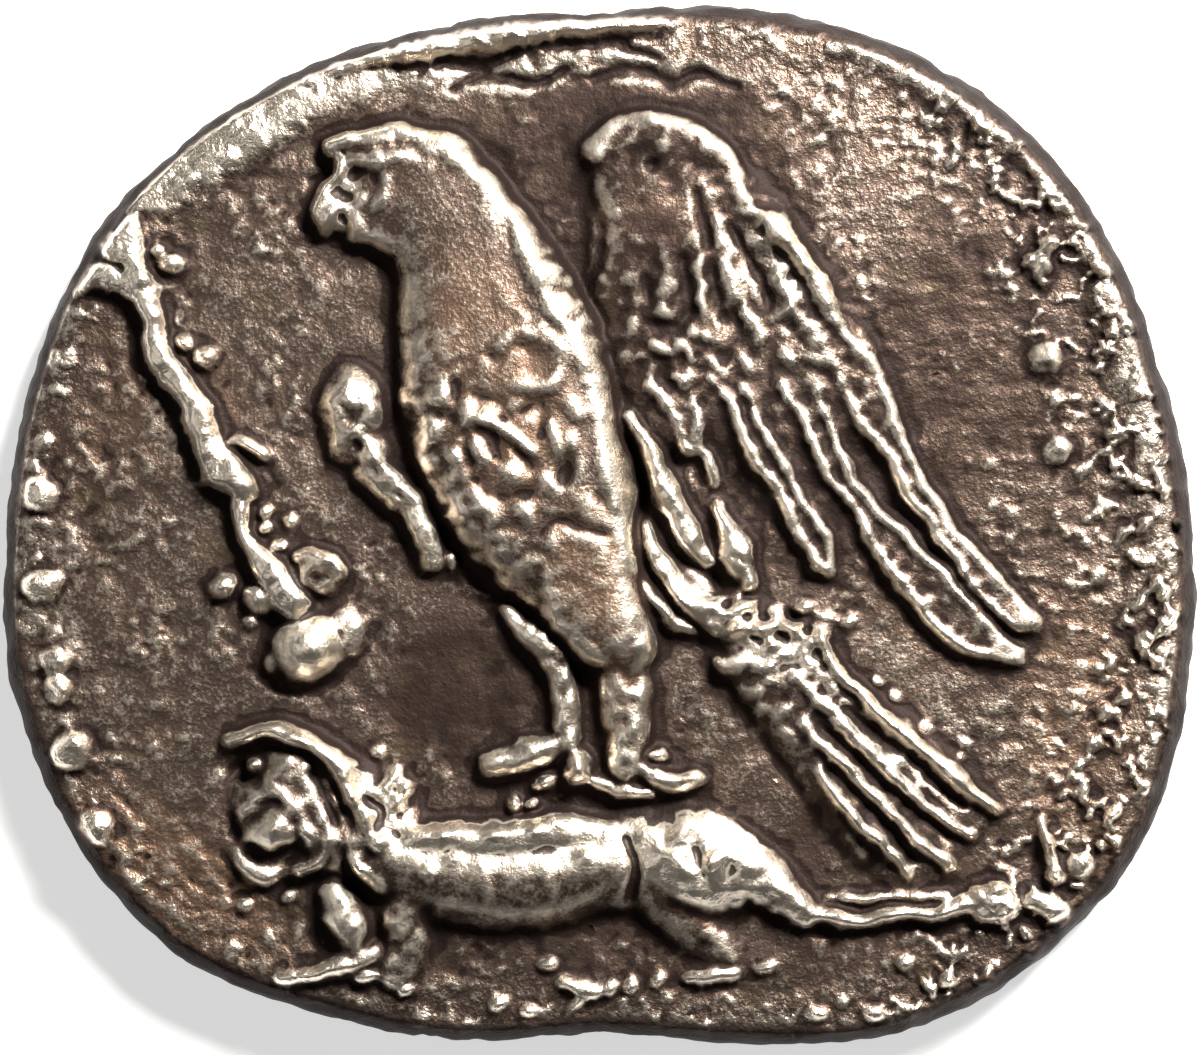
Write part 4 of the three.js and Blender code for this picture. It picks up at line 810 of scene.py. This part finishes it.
def eagle_side():
    """The struck face: eagle on a lion, twig and seed, and the worn ground round them."""
    side = SideMap()
    x, y, share = side.x, side.y, side.share
    smooth = stain(x, y, SMOOTH_SPOTS)
    carved = side.carve(
        (carve_wing, carve_tail, carve_body, carve_plumage, carve_legs, carve_head, carve_lion,
         carve_twig, carve_seed, carve_border), FACE_WANDER * (1 - KEPT_STRAIGHT * smooth), FACE_SEED)
    chips = layered_noise(x, y, CHIPS) * (1 - smooth)
    carved = soften(carved + chips * np.minimum(carved, CHIPPED_UP_TO), FACE_SOFTENING)
    carved *= 1 - LIP_FADE * ramp(share, LIP_FADE_START, FACE_SHARE)
    past = np.clip(share - MARGIN_START, 0, 1) / (1 - MARGIN_START)
    ground = (GROUND_HEIGHT - GROUND_CROWN * share ** 2 - MARGIN_DROP * past ** 2) / STEP
    bare = 1 - ramp(carved, BARE_BELOW, CARVED_ABOVE)
    right = ramp(x + .25 * y, *RIGHT_FIELD) * bare
    rim = ramp(share, *RIM_BAND)
    grain = face_grain(side, bare, smooth, right, rim)
    side.finish(ground + RELIEF_HEIGHT / STEP * carved + grain)
    colour_face(side, carved, bare, right, rim)
    return side


def stain(x, y, spots):
    """How strongly soft oval spots colour each place; where they overlap, the strongest counts."""
    total = np.zeros_like(x)
    for middle_x, middle_y, long, short, turn, strength in spots:
        cosine, sine = math.cos(math.radians(turn)), math.sin(math.radians(turn))
        dx, dy = x - middle_x, y - middle_y
        away = np.hypot((dx * cosine + dy * sine) / long, (dy * cosine - dx * sine) / short)
        total = np.maximum(total, strength * (1 - ramp(away, .5, 1.15)))
    return total


def ear_side():
    """The underside: a flat ring round a hollow with a barley ear, finished more plainly."""
    side = SideMap()
    x, y, share = side.x, side.y, side.share
    slope = ramp(-share, -RING_INSIDE, HOLLOW_SLOPE - RING_INSIDE)
    floor = HOLLOW_DEPTH * slope
    carved = soften(side.carve((carve_ear,), EAR_WANDER, EAR_SEED), EAR_SOFTENING)
    raised = np.minimum(EAR_HEIGHT * carved * slope, floor)
    grain = np.clip(.1 * gradient_noise(x, y, 2.4, 35) + .07 * gradient_noise(x, y, .9, 36) + .1, 0, 1)
    side.finish((floor - raised) / STEP + grain * ramp(-share, -UNDERSIDE_SHARE, -RING_INSIDE))
    side.recess, side.worn = np.clip(1.3 * side.worn, 0, 1), side.recess
    side.coarse = np.full_like(x, .4)
    side.warmth = .3 + .4 * gradient_noise(x, y, 9, 37)
    side.toning = .4 + .5 * gradient_noise(x, y, 12, 38)
    return side


def outline_middle():
    """Middle of the outline's box, in steps; the solid has it on the origin."""
    angle = np.linspace(0, 2 * math.pi, 1440, endpoint=False)
    reach = edge_radius(angle)
    x, y = reach * np.cos(angle), reach * np.sin(angle)
    return (x.min() + x.max()) / 2, (y.min() + y.max()) / 2


MIDDLE_X, MIDDLE_Y = outline_middle()


def points_of(obj):
    """Points of a mesh as an array, in metres."""
    points = np.empty(len(obj.data.vertices) * 3, np.float32)
    obj.data.vertices.foreach_get("co", points)
    return points.reshape(-1, 3).astype(float)


def move_points(obj, points):
    """Puts the points of a mesh at new places, in metres."""
    obj.data.vertices.foreach_set("co", points.astype(np.float32).ravel())
    obj.data.update()


def in_steps(points):
    """Places on the carving grid of points given in metres."""
    return points[:, 0] / (STEP * MM) + MIDDLE_X, points[:, 1] / (STEP * MM) + MIDDLE_Y


def add_side(name, cells, kept, side, rim_share):
    """One side: a square grid wrapped onto the outline, raised by its map, flat parts thinned."""
    bpy.ops.object.select_all(action="DESELECT")
    bpy.ops.mesh.primitive_grid_add(x_subdivisions=cells, y_subdivisions=cells, size=2)
    obj = bpy.context.object
    obj.name = name
    points = points_of(obj)
    a, b = points[:, 0], points[:, 1]
    share = np.maximum(np.abs(a), np.abs(b))
    flat = np.abs(a) >= np.abs(b)
    ratio = np.where(flat, b, a) / np.where(share > 0, np.where(flat, a, b), 1)
    angle = np.where(flat, math.pi / 4 * ratio + math.pi * (a < 0),
                     math.pi / 2 - math.pi / 4 * ratio + math.pi * (b < 0))
    reach = share * rim_share * edge_radius(angle)
    points[:, 0] = (reach * np.cos(angle) - MIDDLE_X) * STEP * MM
    points[:, 1] = (reach * np.sin(angle) - MIDDLE_Y) * STEP * MM
    points[:, 2] = side.sample(side.height, *in_steps(points)) * STEP * MM
    move_points(obj, points)
    thin = obj.modifiers.new("thin", "DECIMATE")
    thin.ratio = kept
    bpy.ops.object.modifier_apply(modifier=thin.name)
    points = points_of(obj)
    points[:, 2] = side.sample(side.height, *in_steps(points)) * STEP * MM
    move_points(obj, points)
    return obj


def extrude_edge(obj):
    """Extrudes the face's border down the bellied edge of the flan, ring by ring."""
    bpy.context.view_layer.objects.active = obj
    obj.select_set(True)
    bpy.ops.object.mode_set(mode="EDIT")
    bpy.ops.mesh.select_mode(type="EDGE")
    bpy.ops.mesh.select_all(action="DESELECT")
    bpy.ops.mesh.select_non_manifold(extend=False, use_wire=False, use_multi_face=False,
                                     use_non_contiguous=False, use_verts=False)
    middle = (-MIDDLE_X * STEP * MM, -MIDDLE_Y * STEP * MM)
    before = FACE_SHARE
    for share, height in EDGE_RINGS:
        bpy.ops.mesh.extrude_edges_move()
        bpy.ops.transform.resize(value=(share / before, share / before, 0),
                                 center_override=(*middle, height * EDGE_HEIGHT * MM))
        before = share
    bpy.ops.object.mode_set(mode="OBJECT")


def roughen_edge(obj):
    """Small nicks and swellings round the edge, which the hammered flan keeps."""
    points = points_of(obj)
    x, y = in_steps(points)
    angle = np.arctan2(y, x)
    share = np.hypot(x, y) / edge_radius(angle)
    around = angle / (2 * math.pi) * 360
    height = points[:, 2] / (STEP * MM)
    side = ramp(share, FACE_SHARE, FACE_SHARE + .012) * ramp(height, 0, 1.5)
    swell = (EDGE_SWELL * gradient_noise(around, height, 5, 51)
             + EDGE_RIPPLE * gradient_noise(around, height * 1.5, 2, 52))
    nicks = -NICK_DEPTH * np.clip(gradient_noise(around, height * .4, 3, 53) - NICK_LEAST, 0, 1)
    grow = side * (swell + nicks) / np.maximum(np.hypot(x, y), 1)
    points[:, 0] += x * grow * STEP * MM
    points[:, 1] += y * grow * STEP * MM
    move_points(obj, points)


def close_underside(obj, under):
    """Joins the two sides and bridges the gap between the edge and the underside."""
    bpy.ops.object.select_all(action="DESELECT")
    under.select_set(True)
    obj.select_set(True)
    bpy.context.view_layer.objects.active = obj
    bpy.ops.object.join()
    bpy.ops.object.mode_set(mode="EDIT")
    bpy.ops.mesh.select_mode(type="EDGE")
    bpy.ops.mesh.select_all(action="DESELECT")
    bpy.ops.mesh.select_non_manifold(extend=False, use_wire=False, use_multi_face=False,
                                     use_non_contiguous=False, use_verts=False)
    bpy.ops.mesh.bridge_edge_loops()
    bpy.ops.mesh.select_all(action="SELECT")
    bpy.ops.mesh.normals_make_consistent(inside=False)
    bpy.ops.object.mode_set(mode="OBJECT")
    bpy.ops.object.shade_smooth()


def mark_surface(obj, face, under):
    """Writes to each point how deep it lies, how rubbed, coarse, warm and toned it is, with the painted
    highlight and shadow of the face's spots.
    """
    points = points_of(obj)
    x, y = in_steps(points)
    share = np.hypot(x, y) / edge_radius(np.arctan2(y, x))
    height = points[:, 2] / MM
    on_face = (share < FACE_SHARE * 1.0005) & (height > .5 * EDGE_HEIGHT)
    on_under = (share < UNDERSIDE_SHARE * 1.0005) & (height < .5 * EDGE_HEIGHT)
    for name, value in EDGE_SURFACE.items():
        values = np.full(len(points), value)
        for side, where in ((face, on_face), (under, on_under)):
            values[where] = side.sample(getattr(side, name), x[where], y[where])
        layer = obj.data.attributes.new(name, "FLOAT", "POINT")
        layer.data.foreach_set("value", values.astype(np.float32))


class Wire:
    """A socket of a shader that takes part in plain sums."""

    def __init__(self, tree, socket):
        self.tree = tree
        self.socket = socket

    def sum(self, operation, *parts, clamp=False):
        node = self.tree.nodes.new("ShaderNodeMath")
        node.operation = operation
        node.use_clamp = clamp
        for at, part in enumerate(parts):
            plug(self.tree, node.inputs[at], part)
        return Wire(self.tree, node.outputs[0])

    def __add__(self, other):
        return self.sum("ADD", self, other)

    def __radd__(self, other):
        return self.sum("ADD", other, self)

    def __sub__(self, other):
        return self.sum("SUBTRACT", self, other)

    def __rsub__(self, other):
        return self.sum("SUBTRACT", other, self)

    def __mul__(self, other):
        return self.sum("MULTIPLY", self, other)

    def __rmul__(self, other):
        return self.sum("MULTIPLY", other, self)

    def clamped(self):
        return self.sum("ADD", self, 0.0, clamp=True)


def plug(tree, socket, value):
    """Links a wire to a socket, or sets the socket to a plain value."""
    if isinstance(value, Wire):
        tree.links.new(value.socket, socket)
    elif hasattr(socket.default_value, "__len__") and len(socket.default_value) == 4:
        socket.default_value = (*value, 1) if len(value) == 3 else value
    else:
        socket.default_value = value


class Shader:
    """Builds the node tree of one material."""

    def __init__(self, name):
        self.material = bpy.data.materials.new(name)
        self.material.use_nodes = True
        self.tree = self.material.node_tree
        self.tree.nodes.clear()

    def node(self, kind, settings=None, sockets=None, output=0):
        """A node of a kind with its settings and its sockets; gives one of its outputs."""
        node = self.tree.nodes.new(kind)
        for name, value in (settings or {}).items():
            setattr(node, name, value)
        for name, value in (sockets or {}).items():
            plug(self.tree, node.inputs[name], value)
        return None if output is None else Wire(self.tree, node.outputs[output])

    def noise(self, place, size, detail):
        """Noise of 0 to 1 with lumps of a size in millimetres."""
        return self.node("ShaderNodeTexNoise", {"noise_dimensions": "3D"},
                         {"Vector": place, "Scale": 1 / (size * MM), "Detail": detail,
                          "Roughness": NOISE_ROUGHNESS},
                         "Fac")

    def attribute(self, name):
        return self.node("ShaderNodeAttribute", {"attribute_name": name}, output="Fac")

    def blend(self, share, first, second):
        """A colour between two."""
        return self.node("ShaderNodeMix", {"data_type": "RGBA"}, {0: share, 6: first, 7: second}, 2)

    def surface(self, sockets):
        """The shader itself, joined to the material's output."""
        shader = self.node("ShaderNodeBsdfPrincipled", {}, sockets)
        self.node("ShaderNodeOutputMaterial", {}, {"Surface": shader}, None)
        return self.material


# Stains on the struck face: middle, half sizes, turn in degrees and strength. The warm ones are brown, on
# the breast, thigh and wing; the toned ones are the darkest of the ground, and three of them, low on the
# lion at about y -37 to -42, are painted shadow under its body.
WARM_SPOTS = (
    (-11, 14, 8, 16, 15, .8), (0, -4, 6, 9, 10, 1), (1, -16, 4, 7, 0, .9), (6, 26, 7, 10, 0, .7),
    (-44, -36, 18, 9, -34, 1), (48, -22, 8, 18, 10, .6), (0, -38, 30, 4, 0, .5), (-44, 12, 9, 10, 0, .5))
TONED_AND_SHADOW_SPOTS = (
    (2, 39, 20, 8, 4, 1.15), (-2, 27, 4, 10, 25, .9), (6, 24, 7, 12, 0, 1.1), (17, 34, 6, 7, -40, .8),
    (-16, 31, 8, 8, 0, .35),
    (14, -16, 5, 4, -30, .8), (5, -26, 7, 6, 0, .6), (23, -32, 7, 4, -40, .6), (17, 6, 8, 17, 35, .75),
    (27, -25, 12, 6, -42, .5), (36, 16, 13, 20, 0, .85), (-14, 9, 5, 6, 0, .4),
    (-18, 2, 5, 14, 30, .5), (32, 0, 8, 6, -40, .5), (-30, -14, 7, 4, 0, .5), (-14, -16, 9, 10, 0, 1.15),
    # the next three spots, from (-3, -37.6) to (-2, -42), are painted shadow under the lion's body
    (-3, -37.6, 14, 3, 0, .7), (-20, -38, 14, 5, 0, .6),
    (-2, -42, 26, 4, 0, .6), (40, 2, 12, 26, 0, .45), (42, 26, 10, 14, 0, .3), (-51, 10, 5, 14, 0, .5),
    (-38, 30, 9, 7, 40, .3))

# Places rubbed clean, where the silver shows through; the first three, on the lion's rump, back and tail
# tuft, also paint highlight where the relief catches the light
RUBBED_AND_HIGHLIT_SPOTS = (
    (10, -32.5, 9, 5, -25, 1.2), (-9, -31.5, 14, 3, 0, 1), (39, -38, 6, 3, 0, 1),
    (18, -11, 6, 4, -20, .5),
    (-29, -11, 4, 4, 0, .4), (-26.5, 33, 3, 5, 0, .4), (8.5, -3, 4, 9, 20, .4), (20, 27, 3, 7, 35, .4),
    (-22, -26, 4, 5, 0, .5), (55, 4, 5, 26, 0, .3), (-20, 47, 30, 4, 12, .7), (-36, 41, 19, 4, 33, 1.6),
    (-55, -14, 4, 20, 0, .4),
    (-43, 16, 4, 18, 20, .75), (-33, -4, 3, 8, 30, .6), (30, -20, 7, 12, 45, .25), (47, -33, 3, 4, 0, .5))

# Places of the ground that stayed smooth, and those with lines where the metal flowed
SMOOTH_SPOTS = (
    (-23, 21, 4, 9, 0, .8), (-14, -16, 9, 9, 0, .8), (20, -30, 6, 7, -40, .6), (4, 38, 18, 6, 4, .3),
    (-15, 27, 9, 13, 20, .9), (0, -4, 6, 9, 10, .8), (-34, -14, 6, 5, 0, .4), (32, -14, 6, 7, -40, .5),
    (-6, 9, 10, 12, 20, .85), (-8, -35, 16, 6.5, 0, .9), (7, -38, 6, 4, 0, .7), (5, 31, 8, 8, 0, .6),
    (36, 20, 10, 17, 20, .55), (-29, -12, 5, 5, 0, .8))
SWEPT_SPOTS = ((-44, -36, 16, 9, -34, 1), (-20, -46, 14, 4, -10, .7))
FLOW_SPOTS = ((-46, -12, 10, 13, 0, .8), (-48, 2, 7, 10, 0, .5), (38, 10, 12, 10, 0, .4))

# How rough the metal is, how far rubbing and painted highlight lighten it and crust and painted shadow
# darken it, and its tooth
METAL_ROUGHNESS = .46
RUB_AND_HIGHLIGHT_STRENGTH = 1.6
CRUSTED = 2.7
BUMP = .9
BUMP_DEPTH = .012
SPECULAR = .15
CRUST_ROUGHNESS = .15
RUBBED_GLOSS = .14
CRUST_NOT_METAL = .5
CRUST_COVER = .97
TONED_AND_SHADOW_CRUST = .75
CRUST_LEAST = .25

# Noise of the metal: sizes of its lumps in millimetres
SPECK_SIZE = .035
FLECK_SIZE = .11
BLOTCH_SIZE = .6
NOISE_ROUGHNESS = .6

# Colours of the metal, linear
TONED = (.104, .075, .061)
WARM = (.19, .122, .086)
DULL = (.05, .034, .027)
CREAM = (.97, .87, .74)
CRUST_AND_SHADOW = (.011, .006, .005)
OLIVE = (.2, .17, .09)


def silver():
    """Toned silver: cream where rubbed and where highlight is painted on the lion's lit back, brown-grey
    on the ground, dark crust in the recesses and painted shadow under the lion.
    """
    s = Shader("silver")
    place = s.node("ShaderNodeTexCoord", output="Object")
    recess, worn = s.attribute("recess"), s.attribute("worn")
    coarse, warmth, toning = s.attribute("coarse"), s.attribute("warmth"), s.attribute("toning")
    speck = s.noise(place, SPECK_SIZE, 2)
    fleck = s.noise(place, FLECK_SIZE, 3)
    blotch = s.noise(place, BLOTCH_SIZE, 4)
    # Crust darkens the recesses and the toned places; through toning it also paints the shadow under the
    # lion's body.
    crust_and_shadow = (CRUSTED * recess + TONED_AND_SHADOW_CRUST * toning - CRUST_LEAST + 1.2 * (fleck - .5)
             + .8 * (blotch - .55) + .5 * (speck - .5)).clamped()
    # Cream where rubbed, and painted highlight where the spots mark the lion's lit back, rump and tail
    # tuft.
    wear_and_highlight = (RUB_AND_HIGHLIGHT_STRENGTH * worn + .9 * (speck - .52) + .6 * (fleck - .5) - .3 * crust_and_shadow).clamped()
    metal = s.blend((.85 * warmth + .5 * (blotch - .5)).clamped(), TONED, WARM)
    # The dull colour follows toning, so it also paints the shadow under the lion's body.
    metal = s.blend((.8 * toning + .7 * (blotch - .5) + .6 * (fleck - .5)).clamped(), metal, DULL)
    metal = s.blend((1.6 * (blotch - .6)).clamped(), metal, OLIVE)
    metal = s.blend(wear_and_highlight, metal, CREAM)
    colour = s.blend((CRUST_COVER * crust_and_shadow).clamped(), metal, CRUST_AND_SHADOW)
    tooth = (.5 + coarse) * (.6 * speck + fleck)
    bump = s.node("ShaderNodeBump", {}, {"Strength": BUMP, "Distance": BUMP_DEPTH * MM, "Height": tooth},
                  "Normal")
    roughness = (METAL_ROUGHNESS + CRUST_ROUGHNESS * crust_and_shadow + .12 * (fleck - .5)
                 - RUBBED_GLOSS * wear_and_highlight)
    return s.surface({"Base Color": colour, "Metallic": 1 - CRUST_NOT_METAL * crust_and_shadow,
                      "Specular IOR Level": SPECULAR, "Roughness": roughness, "Normal": bump})


def make_coin():
    """The coin: both sides and the edge between them as one closed mesh."""
    face, under = eagle_side(), ear_side()
    coin = add_side("obol", FACE_CELLS, FACE_KEPT, face, FACE_SHARE)
    extrude_edge(coin)
    roughen_edge(coin)
    close_underside(coin, add_side("underside", UNDER_CELLS, UNDER_KEPT, under, UNDERSIDE_SHARE))
    mark_surface(coin, face, under)
    coin.data.materials.clear()
    coin.data.materials.append(silver())
    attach(coin, "root")
    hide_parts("coin")


# The floor, in metres, white as the photograph's ground is
FLOOR_SIZE = .4
FLOOR_GREY = (.5, .5, .5)
WHITE = (1, 1, 1)
FLOOR_ROUGHNESS = .9
FLOOR_GLOW = .62

# Lamps: name, turn and rise in degrees, distance and size in millimetres, power, colour
LAMPS = (
    ("key", 55, 39, 60, 18, .19, (1, .96, .9)),
    ("fill", 190, 50, 70, 40, .004, (1, .97, .95)))
SURROUNDINGS = (1, .95, .89, 1)
SURROUNDINGS_STRENGTH = .045


def make_floor():
    """A pale floor that glows a little, so that the ground comes out white."""
    bpy.ops.object.select_all(action="DESELECT")
    bpy.ops.mesh.primitive_plane_add(size=FLOOR_SIZE)
    floor = bpy.context.object
    floor.name = "floor"
    paper = Shader("paper").surface({"Base Color": FLOOR_GREY, "Roughness": FLOOR_ROUGHNESS,
                                     "Emission Color": WHITE, "Emission Strength": FLOOR_GLOW})
    floor.data.materials.append(paper)


def aim(obj, at):
    """Turns an object so that its -Z looks at a place."""
    direction = np.array(at) - np.array(obj.location)
    flat = math.hypot(direction[0], direction[1])
    obj.rotation_euler = (math.atan2(flat, -direction[2]), 0, math.atan2(-direction[0],
            direction[1]) if flat else 0)


def add_light(name, turn, rise, distance, size, power, colour):
    """A square lamp aimed at the coin, from a turn and a rise in degrees."""
    lamp = bpy.data.lights.new(name, "AREA")
    lamp.shape = "SQUARE"
    lamp.size = size * MM
    lamp.energy = power
    lamp.color = colour
    obj = bpy.data.objects.new(name, lamp)
    turn, rise = math.radians(turn), math.radians(rise)
    flat = distance * MM * math.cos(rise)
    obj.location = (flat * math.cos(turn), flat * math.sin(turn), distance * MM * math.sin(rise))
    bpy.context.collection.objects.link(obj)
    aim(obj, (0, 0, 0))


def make_lights():
    """A key lamp from the upper right, a weak fill, and faint light from all around."""
    for lamp in LAMPS:
        add_light(*lamp)
    world = bpy.data.worlds.new("studio")
    world.use_nodes = True
    background = world.node_tree.nodes["Background"]
    background.inputs["Color"].default_value = SURROUNDINGS
    background.inputs["Strength"].default_value = SURROUNDINGS_STRENGTH
    bpy.context.scene.world = world
    bpy.context.scene.view_settings.view_transform = "Standard"


# The photograph's frame, the length of a carving step in it and the place of the carving
# grid's middle, in pixels, and the lens and sensor in millimetres
PHOTO_WIDTH, PHOTO_HEIGHT = 1200, 1055
PHOTO_STEP = 10
PHOTO_MIDDLE = (600, 527)
LENS = 150
SENSOR = 36
NEAR, FAR = .001, 2


def make_camera():
    """Straight above the coin, framed as the photograph is."""
    data = bpy.data.cameras.new("camera")
    data.lens = LENS
    data.sensor_width = SENSOR
    data.clip_start = NEAR
    data.clip_end = FAR
    camera = bpy.data.objects.new("camera", data)
    bpy.context.collection.objects.link(camera)
    wide = PHOTO_WIDTH / PHOTO_STEP * STEP * MM
    x = (PHOTO_WIDTH / 2 - PHOTO_MIDDLE[0]) / PHOTO_STEP - MIDDLE_X
    y = (PHOTO_MIDDLE[1] - PHOTO_HEIGHT / 2) / PHOTO_STEP - MIDDLE_Y
    camera.location = (x * STEP * MM, y * STEP * MM, wide * LENS / SENSOR + GROUND_HEIGHT * MM)
    bpy.context.scene.camera = camera


make_coin()
make_floor()
make_lights()
make_camera()
